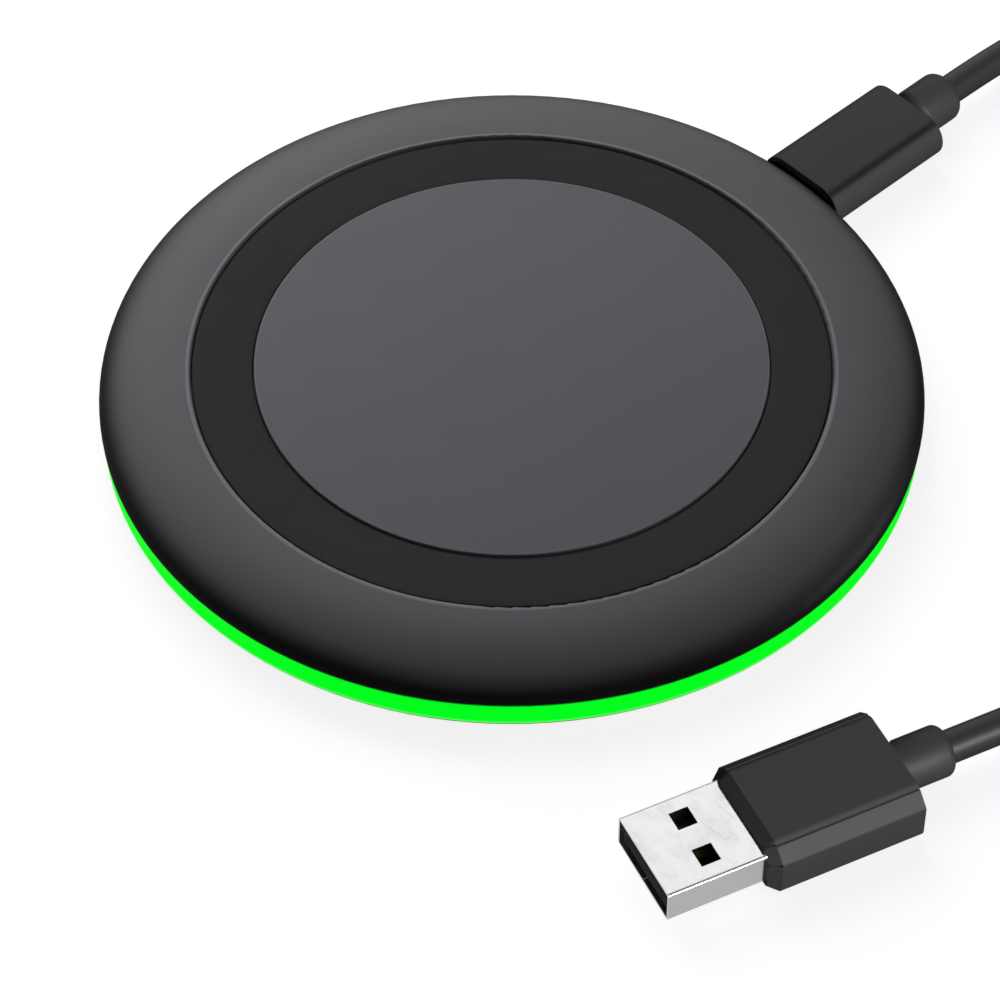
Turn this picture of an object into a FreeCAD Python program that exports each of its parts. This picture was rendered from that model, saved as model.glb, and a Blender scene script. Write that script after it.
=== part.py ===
"""A round wireless charging pad with its detachable USB lead, one STEP file per piece.

Frame: millimetres, +Z up, origin on the surface that the pad stands on, under the middle
of the pad. The USB-C port faces +Y. The lead runs from the port, is wound into a tied coil
beside the pad and ends in a USB-A plug that lies on the same surface.
"""
import FreeCAD, Part
import math
import os

from FreeCAD import Vector

X, Y, Z = Vector(1, 0, 0), Vector(0, 1, 0), Vector(0, 0, 1)

# Pad, outside
PAD_R = 50.0
TOP_Z = 8.88
LIP_Z = 0.75  # underside of the base cover's lip
BAND_LOW_Z, BAND_TOP_Z = 1.2, 4.71
BAND_LOW_R = 49.74
PLATE_R, PLATE_THICK = 31.12, 1.0
GRIP_IN_R, GRIP_OUT_R = 31.22, 38.6
GRIP_DROP, GRIP_THICK = 0.3, 1.0
CROWN_R = 38.75  # where the flat top turns into the dome
DOME_WIDE, DOME_HIGH = PAD_R - CROWN_R, TOP_Z - BAND_TOP_Z
WALL = 1.5
LIP_ROUND = 0.4  # the rounding round the sunken ring
FLOOR_LOW_Z, FLOOR_TOP_Z = 0.7, 1.7
BASE_R, BASE_FLAT_R = 49.55, 47.6  # the cover's rim, and where its underside turns up to it
BAND_IN_R = 46.5
FOOT_IN_R, FOOT_OUT_R, FOOT_HIGH, FOOT_ROUND, FOOT_PLAY = 38.15, 43.85, 1.0, 0.3, 0.15
REFLECTOR_R, REFLECTOR_THICK = 46.1, 0.3
RIB_RADII, RIB_THICK = (20.0, 35.0), 1.0
VENT_R, VENT_RING_R, VENT_ANGLES = 0.6, 12.0, (60.0, 90.0, 120.0, 240.0, 270.0, 300.0)

# Port
FACET_Y = 49.55
PORT_Z = 3.48
PORT_BLOCK_WIDE, PORT_BLOCK_DEEP = 16.0, 2.6
SOCKET_WIDE, SOCKET_HIGH, SOCKET_SHEET = 9.02, 3.18, 0.3
SOCKET_MOUTH_Y, SOCKET_REAR_Y = 49.2, 41.6
TONGUE_WIDE, TONGUE_THICK = 6.69, 0.6
CONTACT_PITCH, CONTACT_WIDE, CONTACT_THICK, CONTACTS_A_SIDE = 0.5, 0.25, 0.05, 12

# Inside the pad
BOARD_R, BOARD_LOW_Z, BOARD_TOP_Z = 44.0, 1.9, 2.9
SHELF_IN_R, SHELF_LOW_Z, SHELF_TOP_Z = 29.8, 6.88, 7.58
SCREW_RING_R, SCREW_ANGLES = 41.0, (-90.0, 30.0, 150.0)
SCREW_R, SCREW_HEAD_R, SCREW_HEAD_HIGH, SCREW_LONG = 0.83, 1.6, 0.6, 4.6
POST_R, POST_LOW_Z, POST_LONG, SEAT_R = 2.0, 2.35, 5.1, 2.5
CROSS_LONG, CROSS_WIDE, CROSS_DEEP = 1.7, 0.4, 0.33
LEG_R, LEG_RING_R, LEG_ANGLES = 1.2, 23.0, (20.0, 160.0, 200.0, 250.0, 290.0, 340.0)
EMITTER_WIDE, EMITTER_HIGH, EMITTER_RING_R, EMITTER_STEP = 3.0, 1.2, 43.3, 20
TAPE_OUT_R, BEAD_R, BEAD_WIRE_R = 20.5, 1.1, 0.25
CARRIER_R, CARRIER_LOW_Z, CARRIER_TOP_Z = 25.8, 4.6, 5.4
FERRITE_R, FERRITE_TOP_Z = 25.0, 6.4
COIL_IN_R, COIL_PITCH, COIL_WIRE_R, COIL_TURNS = 10.8, 1.14, 0.54, 9
COIL_Z = FERRITE_TOP_Z + COIL_WIRE_R
CENTRE_HOLE_R, LEAD_BEND = 8.0, 1.4

# USB-C plug, seated in the port
PLUG_C_WIDE, PLUG_C_HIGH, PLUG_C_SHEET = 8.25, 2.4, 0.25
PLUG_C_TIP_Y, PLUG_C_SHELL_END_Y = 43.3, 53.0
SLOT_WIDE, SLOT_HIGH, SLOT_DEEP = 6.95, 1.1, 5.2
INNER_WIDE, INNER_HIGH, INNER_FRONT_Y, INNER_REAR_Y = 10.6, 4.4, 49.75, 63.0
NOSE_WIDE, NOSE_HIGH = 12.2, 5.8  # the inner mould's flange in front of the grip
GRIP_C_WIDE, GRIP_C_HIGH, GRIP_C_FRONT_Y, GRIP_C_REAR_Y = 12.7, 6.3, 50.3, 71.5
NECK_C_R, NECK_C_END_Y = 3.355, 77.0

# USB-A plug, lying beside the pad
PLUG_A_TIP, PLUG_A_HEADING = Vector(62.5, -38.5, 0), -107.0
PLUG_A_Z = 3.7
SHELL_A_WIDE, SHELL_A_HIGH, SHELL_A_SHEET, SHELL_A_OUT = 12.0, 4.5, 0.3, 12.0
SHELL_A_LONG = 18.0
GRIP_A_WIDE, GRIP_A_HIGH, GRIP_A_LONG = 15.2, 7.4, 19.8
GRIP_A_FLAT, GRIP_A_BEVEL = 5.6, 1.9
NECK_A_R, NECK_A_LONG = 3.1, 6.4

# Cable
CABLE_R = 2.0
COIL_MIDDLE = Vector(62.5, 66.0, 0)
WOUND_OUT_R, WOUND_IN_R = 30.6, 13.6
WOUND_LOW_Z, WOUND_TOP_Z = 0.6, 8.7
TIE_ANGLE, TIE_WIDE, TIE_THICK = 200.0, 7.0, 0.6
LEAD_ROUTE = [
    (0.0, 77.0, 3.48), (0.0, 90.0, 3.48), (5.3, 103.4, 2.2), (17.4, 111.3, 2.0),
    (32.9, 111.8, 2.0), (48.6, 106.7, 2.1), (63.2, 99.0, 2.4), (76.1, 90.4, 2.6),
]
TAIL_ROUTE = [
    (90.3, 58.5, 6.65), (86.5, 44.2, 4.9), (82.3, 29.2, 2.3), (78.05, 12.4, 3.7),
    (73.67, -1.97, 3.7),
]


def at(x, y, z):
    """A point or a step in the part's frame."""
    return Vector(x, y, z)


def turned(radius, degrees, z=0.0):
    """The point at a radius and an angle around the pad's axis."""
    a = math.radians(degrees)
    return Vector(radius * math.cos(a), radius * math.sin(a), z)


def joined(shapes):
    """One solid from pieces that touch or overlap."""
    whole = shapes[0]
    for shape in shapes[1:]:
        whole = whole.fuse(shape)
    return whole.removeSplitter()


def minus(shape, *tools):
    """A shape with each tool cut out of it."""
    for tool in tools:
        shape = shape.cut(tool)
    return shape


def ring(inner, outer, low, high):
    """A flat ring around the pad's axis, or a disc if inner is 0."""
    disc = Part.makeCylinder(outer, high - low, at(0, 0, low))
    return minus(disc, Part.makeCylinder(inner, high - low, at(0, 0, low))) if inner else disc


def post(radius, place, high):
    """An upright round post from its foot."""
    return Part.makeCylinder(radius, high, place)


def block(wide, deep, high, middle, low):
    """A box about a middle in plan, from a height up."""
    return Part.makeBox(wide, deep, high, at(middle[0] - wide / 2, middle[1] - deep / 2, low))


def spun(points):
    """A solid of revolution about Z from an outline of (r, z) points."""
    outline = [at(r, 0, z) for r, z in points]
    face = Part.Face(Part.makePolygon(outline + outline[:1]))
    return face.revolve(at(0, 0, 0), Z, 360)


def stadium(wide, high, front, rear):
    """A bar along Y through the port, whose section is a rectangle with round ends."""
    bar = Part.makeBox(wide, rear - front, high, at(-wide / 2, front, PORT_Z - high / 2))
    along = [e for e in bar.Edges if abs(e.tangentAt(e.FirstParameter).y) > 0.9]
    return bar.makeFillet(high / 2 - 1e-3, along)


def edges_near(shape, test):
    """The edges whose middle point passes a test."""
    return [e for e in shape.Edges if test(e.CenterOfMass)]


def facet_side():
    """Everything past the flat facet that the port sits in."""
    return Part.makeBox(60, 10, 20, at(-30, FACET_Y, -5))


# ---- casing ----------------------------------------------------------------------------

def dome(wide, high):
    """A solid dome: a flat top that rolls over a quarter ellipse down to the band."""
    low, top = at(0, 0, BAND_TOP_Z), at(CROWN_R, 0, BAND_TOP_Z + high)
    rim, middle = at(CROWN_R + wide, 0, BAND_TOP_Z), at(CROWN_R, 0, BAND_TOP_Z)
    roll = Part.Arc(Part.Ellipse(rim, top, middle), 0, math.pi / 2).toShape()
    outline = Part.Wire([Part.makeLine(low, rim), roll, Part.makeLine(top, at(0, 0, top.z)),
                         Part.makeLine(at(0, 0, top.z), low)])
    return Part.Face(outline).revolve(at(0, 0, 0), Z, 360)


def rounding(radius, top, size):
    """What is cut away to round the upper inner edge of a hole in a flat top."""
    start, end = at(radius, 0, top - size), at(radius + size, 0, top)
    diagonal = size * (1 - math.sqrt(0.5))
    curve = Part.Arc(start, at(radius + diagonal, 0, top - diagonal), end).toShape()
    corners = [end, at(radius + size, 0, top + 1), at(radius - 1, 0, top + 1),
               at(radius - 1, 0, top - size), start]
    outline = Part.Wire([curve] + [Part.makeLine(a, b) for a, b in zip(corners, corners[1:])])
    return Part.Face(outline).revolve(at(0, 0, 0), Z, 360)


def port_mouth():
    """The hole through the wall that the plug goes into."""
    return stadium(SOCKET_WIDE + 0.3, SOCKET_HIGH + 0.3, SOCKET_REAR_Y - 1, FACET_Y + 2)


def top_housing():
    """The domed upper casing, with the port block, the screw posts and the ring's shelf."""
    wall_r = GRIP_OUT_R + 0.1
    shell = minus(dome(DOME_WIDE, DOME_HIGH), dome(DOME_WIDE - WALL, DOME_HIGH - WALL),
                  ring(0, wall_r, BAND_TOP_Z - 1, TOP_Z + 1))
    collar = ring(wall_r, wall_r + WALL, SHELF_LOW_Z, TOP_Z - LIP_ROUND)
    shelf = ring(SHELF_IN_R, wall_r + 1.0, SHELF_LOW_Z, SHELF_TOP_Z)
    low = BAND_LOW_Z + 0.02
    inside = block(PORT_BLOCK_WIDE, PORT_BLOCK_DEEP, BAND_TOP_Z + 0.6 - low,
                   (0, FACET_Y - PORT_BLOCK_DEEP / 2), low)
    posts = [post(POST_R, turned(SCREW_RING_R, a, POST_LOW_Z), POST_LONG) for a in SCREW_ANGLES]
    edge = rounding(wall_r, TOP_Z, LIP_ROUND)
    whole = minus(joined([shell, collar, shelf, inside.common(ring(0, PAD_R - 0.1, 0, 20))] + posts),
                  port_mouth(), facet_side(), edge)
    for a in SCREW_ANGLES:
        whole = whole.cut(post(SCREW_R + 0.02, turned(SCREW_RING_R, a, POST_LOW_Z - 0.3), SCREW_LONG - 0.1))
    return whole


def base_cover():
    """The flat bottom cover, with a thin lip, the foot's groove and the screw seats."""
    step_r, lip_top = BAND_IN_R - 0.2, BAND_LOW_Z - 0.03
    plate = spun([(0, FLOOR_LOW_Z), (BASE_FLAT_R, FLOOR_LOW_Z), (BASE_R, LIP_Z + 0.1), (BASE_R, lip_top),
                  (step_r, lip_top), (step_r, FLOOR_TOP_Z), (0, FLOOR_TOP_Z)])
    ribs = [ring(r, r + RIB_THICK, FLOOR_TOP_Z - 0.1, BOARD_LOW_Z) for r in RIB_RADII]
    seats = [post(SEAT_R, turned(SCREW_RING_R, a, FLOOR_TOP_Z - 0.1), POST_LOW_Z - FLOOR_TOP_Z + 0.05)
             for a in SCREW_ANGLES]
    groove = ring(FOOT_IN_R - FOOT_PLAY, FOOT_OUT_R + FOOT_PLAY, FLOOR_LOW_Z - 0.1, FOOT_HIGH)
    whole = minus(joined([plate] + ribs + seats), groove, facet_side())
    for a in SCREW_ANGLES:
        whole = minus(whole, post(SCREW_R + 0.12, turned(SCREW_RING_R, a), POST_LOW_Z + 1),
                      post(SCREW_HEAD_R + 0.1, turned(SCREW_RING_R, a), FOOT_HIGH + SCREW_HEAD_HIGH + 0.03))
    for a in VENT_ANGLES:
        whole = whole.cut(post(VENT_R, turned(VENT_RING_R, a), FLOOR_TOP_Z + 0.1))
    return whole


def foot_ring():
    """The soft ring that the pad stands on."""
    foot = ring(FOOT_IN_R, FOOT_OUT_R, 0, FOOT_HIGH)
    return foot.makeFillet(FOOT_ROUND, edges_near(foot, lambda c: c.z < 0.01))


def port_gap(room):
    """The space that the port block takes, with room on either side."""
    return block(PORT_BLOCK_WIDE + 2 * room, PAD_R, TOP_Z, (0, PAD_R), 0)


def light_guide():
    """The clear band that carries the light round the edge, open at the port."""
    top = BAND_TOP_Z - 0.02
    band = spun([(BAND_IN_R, BAND_LOW_Z), (BAND_LOW_R, BAND_LOW_Z), (PAD_R, top), (BAND_IN_R, top)])
    return band.cut(port_gap(0.05))


def light_reflector():
    """The white strip behind the light guide, with a window at each emitter."""
    strip = ring(REFLECTOR_R, REFLECTOR_R + REFLECTOR_THICK, FLOOR_TOP_Z + 0.05, BAND_TOP_Z - 0.1)
    strip = strip.cut(port_gap(2.0))
    for a in emitter_angles():
        window = block(PAD_R - EMITTER_RING_R, EMITTER_WIDE + 0.4, EMITTER_HIGH + 0.3,
                       (REFLECTOR_R, 0), BOARD_TOP_Z - 0.1)
        strip = strip.cut(window.rotated(at(0, 0, 0), Z, a))
    return strip


def centre_plate():
    """The round plate that the phone lies over, with a locating rim below."""
    plate = ring(0, PLATE_R, TOP_Z - PLATE_THICK, TOP_Z)
    rim = ring(SHELF_IN_R + 0.3, PLATE_R - 0.2, SHELF_TOP_Z, TOP_Z - PLATE_THICK)
    whole = joined([plate, rim])
    return whole.makeFillet(0.2, edges_near(whole, lambda c: abs(c.z - TOP_Z) < 1e-3))


def grip_ring():
    """The soft ring let into the top, a little below the plate and the housing."""
    top = TOP_Z - GRIP_DROP
    return ring(GRIP_IN_R, GRIP_OUT_R, top - GRIP_THICK, top)


def case_screws():
    """The screws that hold the base to the posts, under the foot ring."""
    low, screws = FOOT_HIGH + 0.02, []
    for a in SCREW_ANGLES:
        place = turned(SCREW_RING_R, a)
        head = minus(post(SCREW_HEAD_R, place + Z * low, SCREW_HEAD_HIGH),
                     block(CROSS_LONG, CROSS_WIDE, CROSS_DEEP, place[:2], low),
                     block(CROSS_WIDE, CROSS_LONG, CROSS_DEEP, place[:2], low))
        screws.append(joined([head, post(SCREW_R, place + Z * (low + SCREW_HEAD_HIGH - 0.02), SCREW_LONG)]))
    return Part.makeCompound(screws)


# ---- electronics -----------------------------------------------------------------------

def circuit_board():
    """The round board, notched for the socket and the screw posts."""
    board = ring(0, BOARD_R, BOARD_LOW_Z, BOARD_TOP_Z)
    board = board.cut(block(SOCKET_WIDE + 0.2, 10, 3, (0, SOCKET_REAR_Y + 4.9), 1))
    for a in SCREW_ANGLES:
        board = board.cut(post(2.9, turned(SCREW_RING_R, a, 1), 3))
    return board


def usb_c_socket_shell():
    """The socket's metal shell with its four board pins."""
    body = stadium(SOCKET_WIDE, SOCKET_HIGH, SOCKET_REAR_Y, SOCKET_MOUTH_Y)
    cavity = stadium(SOCKET_WIDE - 2 * SOCKET_SHEET, SOCKET_HIGH - 2 * SOCKET_SHEET,
                     SOCKET_REAR_Y - 1, SOCKET_MOUTH_Y + 1)
    wings = [block(1.0, 1.2, 0.3, (side * (SOCKET_WIDE / 2 + 0.35), y), BOARD_TOP_Z)
             for side in (-1, 1) for y in (42.4, 46.2)]
    return joined([body] + wings).cut(cavity)


def usb_c_socket_tongue():
    """The socket's moulded block and the tongue that carries its contacts."""
    inner_wide, inner_high = SOCKET_WIDE - 2 * SOCKET_SHEET, SOCKET_HIGH - 2 * SOCKET_SHEET
    rear = stadium(inner_wide - 0.02, inner_high - 0.02, SOCKET_REAR_Y, PLUG_C_TIP_Y - 0.1)
    tongue = block(TONGUE_WIDE, 5.4, TONGUE_THICK, (0, 45.0), PORT_Z - TONGUE_THICK / 2)
    return joined([rear, tongue])


def contact_row(front, rear, low, thick):
    """A row of flat contacts across a plug or a socket."""
    first = -(CONTACTS_A_SIDE - 1) / 2 * CONTACT_PITCH
    return [block(CONTACT_WIDE, rear - front, thick, (first + i * CONTACT_PITCH, (front + rear) / 2), low)
            for i in range(CONTACTS_A_SIDE)]


def usb_c_socket_contacts():
    """The contacts on both faces of the socket's tongue."""
    half = TONGUE_THICK / 2
    return Part.makeCompound(
        contact_row(43.4, 47.4, PORT_Z + half, CONTACT_THICK)
        + contact_row(43.4, 47.4, PORT_Z - half - CONTACT_THICK, CONTACT_THICK))


def emitter_angles():
    """Where the light emitters stand, clear of the port and the screws."""
    return [a for a in range(0, 360, EMITTER_STEP) if abs(a - 90) > 15 and min(
        abs((a - s + 180) % 360 - 180) for s in SCREW_ANGLES) > 8]


def led_emitters():
    """Side-firing light emitters round the board's edge."""
    parts = []
    for a in emitter_angles():
        body = block(1.3, EMITTER_WIDE, EMITTER_HIGH, (EMITTER_RING_R, 0), BOARD_TOP_Z)
        lens = block(0.5, EMITTER_WIDE - 0.6, EMITTER_HIGH - 0.4,
                     (EMITTER_RING_R + 0.9, 0), BOARD_TOP_Z + 0.2)
        parts.append(joined([body, lens]).rotated(at(0, 0, 0), Z, a))
    return Part.makeCompound(parts)


def chip(wide, deep, high, middle):
    """A moulded component with bevelled top edges, standing on the board."""
    body = block(wide, deep, high, middle, BOARD_TOP_Z)
    top = edges_near(body, lambda c: abs(c.z - BOARD_TOP_Z - high) < 1e-3)
    return body.makeChamfer(min(0.15, high / 4), top)


def power_controller_chip():
    """The controller that drives the coil."""
    return chip(6.0, 6.0, 0.9, (0.0, 33.0))


def bridge_transistors():
    """The four power transistors of the coil's bridge."""
    return Part.makeCompound([chip(3.3, 3.3, 0.85, (x, y)) for x in (-12.5, -7.5) for y in (30.5, 36.0)])


def resonant_capacitors():
    """The bank of capacitors in series with the coil."""
    return Part.makeCompound([chip(3.2, 2.5, 1.5, (8.0 + 4.2 * i, 31.5)) for i in range(4)])


def bypass_capacitors():
    """Small capacitors around the controller."""
    places = [(-4.6 + 1.9 * i, 28.2) for i in range(6)] + [(6.6, 34.5 + 1.8 * i) for i in range(3)]
    return Part.makeCompound([chip(0.9, 1.6, 0.8, p) for p in places])


def chip_resistors():
    """Small resistors beside the port and the controller."""
    places = [(-4.6 + 1.9 * i, 38.6) for i in range(6)]
    return Part.makeCompound([chip(0.8, 1.6, 0.45, p) for p in places])


def input_inductor():
    """The square moulded choke on the supply."""
    return chip(6.6, 6.6, 1.5, (-19.6, 30.8))


def thermal_pad():
    """The soft pad that carries the controller's heat into the base."""
    return block(12, 10, BOARD_LOW_Z - FLOOR_TOP_Z, (0, 28.5), FLOOR_TOP_Z)


# ---- transmitter coil ------------------------------------------------------------------

def coil_carrier():
    """The moulded tray under the ferrite, on legs that stand on the board."""
    tray = ring(CENTRE_HOLE_R, CARRIER_R, CARRIER_LOW_Z, CARRIER_TOP_Z)
    legs = [post(LEG_R, turned(LEG_RING_R, a, BOARD_TOP_Z), CARRIER_LOW_Z - BOARD_TOP_Z + 0.1)
            for a in LEG_ANGLES]
    return joined([tray] + legs)


def ferrite_sheet():
    """The ferrite disc that keeps the coil's field above the pad."""
    return ring(CENTRE_HOLE_R, FERRITE_R, CARRIER_TOP_Z, FERRITE_TOP_Z)


def swept(path, radius):
    """A round bar along a wire."""
    start = path.Edges[0]
    middle = path.OrderedVertexes[0].Point
    heading = start.tangentAt(start.FirstParameter)
    if (start.valueAt(start.FirstParameter) - middle).Length > 1e-6:
        heading = start.tangentAt(start.LastParameter) * -1
    profile = Part.Wire(Part.makeCircle(radius, middle, heading))
    return path.makePipeShell([profile], True, False, 2)


def charging_coil():
    """A flat spiral of litz wire, its turns half circles that grow by half a pitch."""
    edges, left = [], -COIL_IN_R
    for half in range(2 * COIL_TURNS):
        side = -1 if half % 2 == 0 else 1
        r = COIL_IN_R + half * COIL_PITCH / 2
        right = left + 2 * r * -side
        middle = (left + right) / 2
        edges.append(Part.Arc(at(left, 0, COIL_Z), at(middle, side * r, COIL_Z),
                              at(right, 0, COIL_Z)).toShape())
        left = right
    return swept(Part.Wire(edges), COIL_WIRE_R)


def turn_down(corner, heading, low):
    """The end of a level wire: a quarter bend from a corner down to a height."""
    side = heading * (LEAD_BEND * math.sin(math.pi / 4))
    mid = corner + side - Z * (LEAD_BEND * (1 - math.cos(math.pi / 4)))
    down = corner + heading * LEAD_BEND - Z * LEAD_BEND
    return [Part.Arc(corner, mid, down).toShape(), Part.makeLine(down, at(down.x, down.y, low))]


def coil_leads():
    """The coil's two ends, brought down to the board past the tray and through its hole."""
    r = 3.0
    start, middle = at(-COIL_IN_R, 0, COIL_Z), at(r - COIL_IN_R, 0, COIL_Z)
    across, corner = middle + Y * r, middle + at(2.6, r, 0)
    diagonal = middle + at(-r, r, 0) * math.sqrt(0.5)
    inner = [Part.Arc(start, diagonal, across).toShape(), Part.makeLine(across, corner)]
    outer_end = at(-COIL_IN_R - COIL_TURNS * COIL_PITCH, 0, COIL_Z)
    outer_corner = outer_end - Y * 16.6
    outer = [Part.makeLine(outer_end, outer_corner)]
    return Part.makeCompound([
        swept(Part.Wire(inner + turn_down(corner, X, BOARD_TOP_Z)), COIL_WIRE_R),
        swept(Part.Wire(outer + turn_down(outer_corner, Y * -1, BOARD_TOP_Z)), COIL_WIRE_R)])


def coil_tape():
    """Double-sided tape between the coil and the plate."""
    return ring(COIL_IN_R - 0.5, TAPE_OUT_R, COIL_Z + COIL_WIRE_R + 0.01, TOP_Z - PLATE_THICK)


def temperature_sensor():
    """A bead on two wires in the middle of the coil, touching the plate from below."""
    middle = TOP_Z - PLATE_THICK - BEAD_R - 0.02
    wires = [post(BEAD_WIRE_R, at(x, 0, BOARD_TOP_Z), middle - BOARD_TOP_Z) for x in (-0.6, 0.6)]
    return joined([Part.makeSphere(BEAD_R, at(0, 0, middle))] + wires)


# ---- USB-C plug ------------------------------------------------------------------------

def usb_c_plug_shell():
    """The plug's drawn metal shell."""
    body = stadium(PLUG_C_WIDE, PLUG_C_HIGH, PLUG_C_TIP_Y, PLUG_C_SHELL_END_Y)
    body = body.makeFillet(0.12, edges_near(body, lambda c: abs(c.y - PLUG_C_TIP_Y) < 1e-3))
    return body.cut(stadium(PLUG_C_WIDE - 2 * PLUG_C_SHEET, PLUG_C_HIGH - 2 * PLUG_C_SHEET,
                            PLUG_C_TIP_Y - 1, PLUG_C_SHELL_END_Y + 1))


def usb_c_plug_insert():
    """The moulded insert inside the shell, slotted for the socket's tongue."""
    body = stadium(PLUG_C_WIDE - 2 * PLUG_C_SHEET - 0.02, PLUG_C_HIGH - 2 * PLUG_C_SHEET - 0.02,
                   PLUG_C_TIP_Y + 0.3, PLUG_C_SHELL_END_Y)
    slot = block(SLOT_WIDE, SLOT_DEEP + 1, SLOT_HIGH,
                 (0, PLUG_C_TIP_Y + (SLOT_DEEP - 1) / 2), PORT_Z - SLOT_HIGH / 2)
    return body.cut(slot)


def usb_c_plug_contacts():
    """The spring contacts on both faces of the plug's slot."""
    front, rear = PLUG_C_TIP_Y + 1.2, PLUG_C_TIP_Y + SLOT_DEEP
    return Part.makeCompound(contact_row(front, rear, PORT_Z + SLOT_HIGH / 2 - 0.1, 0.1)
                             + contact_row(front, rear, PORT_Z - SLOT_HIGH / 2, 0.1))


def usb_c_inner_mould():
    """The hard inner mould over the rear of the shell, with a flange that shows before the grip."""
    body = joined([stadium(INNER_WIDE, INNER_HIGH, INNER_FRONT_Y, INNER_REAR_Y),
                   stadium(NOSE_WIDE, NOSE_HIGH, INNER_FRONT_Y, GRIP_C_FRONT_Y - 0.01)])
    shell = stadium(PLUG_C_WIDE + 0.02, PLUG_C_HIGH + 0.02, INNER_FRONT_Y - 1, PLUG_C_SHELL_END_Y + 0.01)
    return body.cut(shell)


def usb_c_overmould():
    """The plug's soft grip: a flat bar with round sides and a rounded rear."""
    body = stadium(GRIP_C_WIDE, GRIP_C_HIGH, GRIP_C_FRONT_Y, GRIP_C_REAR_Y)
    body = body.makeFillet(1.7, edges_near(body, lambda c: abs(c.y - GRIP_C_REAR_Y) < 1e-3))
    body = body.makeFillet(0.12, edges_near(body, lambda c: abs(c.y - GRIP_C_FRONT_Y) < 1e-3))
    return body.cut(stadium(INNER_WIDE + 0.02, INNER_HIGH + 0.02, GRIP_C_FRONT_Y - 1, INNER_REAR_Y + 0.02))


def usb_c_strain_relief():
    """The round neck between the grip and the cable."""
    neck = Part.makeCylinder(NECK_C_R, NECK_C_END_Y - GRIP_C_REAR_Y, at(0, GRIP_C_REAR_Y, PORT_Z), Y)
    return neck.makeFillet(1.2, edges_near(neck, lambda c: abs(c.y - NECK_C_END_Y) < 1e-3))


# ---- USB-A plug: built along X with its tip at 0 and its rear on the -X side, then laid down

def laid(shape):
    """Moves a piece of the USB-A plug from its own frame, tip at 0 and rear along -X."""
    shape = shape.rotated(at(0, 0, 0), Z, PLUG_A_HEADING)
    return shape.translated(PLUG_A_TIP)


def bar_a(rear, front, wide, high, z=PLUG_A_Z):
    """A box along the USB-A plug's own X axis."""
    return Part.makeBox(front - rear, wide, high, at(rear, -wide / 2, z - high / 2))


def long_edges(shape):
    """The edges that run along X."""
    return [e for e in shape.Edges if abs(e.tangentAt(e.FirstParameter).x) > 0.9]


def usb_a_plug_shell():
    """The folded metal shell with its square latch windows and its seam underneath."""
    outer = bar_a(-SHELL_A_LONG, 0, SHELL_A_WIDE, SHELL_A_HIGH)
    outer = outer.makeFillet(0.4, long_edges(outer))
    inner = bar_a(-SHELL_A_LONG - 1, 1, SHELL_A_WIDE - 2 * SHELL_A_SHEET, SHELL_A_HIGH - 2 * SHELL_A_SHEET)
    windows = [block(2.4, 2.5, 9, (-6.3, y), -1) for y in (-2.75, 2.75)]
    seam = block(SHELL_A_LONG + 2, 0.08, 1, (-SHELL_A_LONG / 2, 0), PLUG_A_Z - SHELL_A_HIGH / 2 - 0.5)
    return laid(minus(outer, inner, seam, *windows))


def usb_a_tongue():
    """The moulded tongue in the lower half of the shell."""
    low = PLUG_A_Z - SHELL_A_HIGH / 2 + SHELL_A_SHEET + 0.01
    wide = SHELL_A_WIDE - 2 * SHELL_A_SHEET - 0.04
    rear = Part.makeBox(6.2, wide, SHELL_A_HIGH - 2 * SHELL_A_SHEET - 0.02, at(-SHELL_A_LONG, -wide / 2, low))
    tongue = Part.makeBox(SHELL_A_LONG - 0.6, wide, 1.84, at(-SHELL_A_LONG, -wide / 2, low))
    return laid(joined([rear, tongue]))


def usb_a_contacts():
    """The four flat contacts on the tongue; the outer two reach further forward."""
    low = PLUG_A_Z - SHELL_A_HIGH / 2 + SHELL_A_SHEET + 0.01 + 1.84
    strips = []
    for y, front in ((-3.5, -1.6), (-1.0, -2.7), (1.0, -2.7), (3.5, -1.6)):
        strips.append(Part.makeBox(front + 11.7, 1.0, 0.12, at(-11.7, y - 0.5, low)))
    return laid(Part.makeCompound(strips))


def usb_a_overmould():
    """The plug's soft grip, with broad bevels along its top and round lower corners."""
    rear, half, rise = -SHELL_A_OUT - GRIP_A_LONG, GRIP_A_WIDE / 2, GRIP_A_HIGH / 2
    section = [at(rear, y, PLUG_A_Z + z) for y, z in (
        (-GRIP_A_FLAT, rise), (GRIP_A_FLAT, rise), (half, rise - GRIP_A_BEVEL), (half, 1.4 - rise),
        (half - 1.4, -rise), (1.4 - half, -rise), (-half, 1.4 - rise), (-half, rise - GRIP_A_BEVEL))]
    body = Part.Face(Part.makePolygon(section + section[:1])).extrude(at(GRIP_A_LONG, 0, 0))
    body = body.makeChamfer(1.2, edges_near(body, lambda c: abs(c.x + SHELL_A_OUT) < 1e-3))
    body = body.makeFillet(0.5, body.Edges)
    hole = bar_a(-SHELL_A_LONG - 0.02, 0, SHELL_A_WIDE + 0.02, SHELL_A_HIGH + 0.02)
    return laid(body.cut(hole))


def usb_a_strain_relief():
    """The round neck between the grip and the cable."""
    front = -SHELL_A_OUT - GRIP_A_LONG
    neck = Part.makeCylinder(NECK_A_R, NECK_A_LONG, at(front - NECK_A_LONG, 0, PLUG_A_Z), X)
    rear = edges_near(neck, lambda c: abs(c.x - front + NECK_A_LONG) < 1e-3)
    return laid(neck.makeFillet(1.0, rear))


# ---- cable -----------------------------------------------------------------------------

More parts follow.
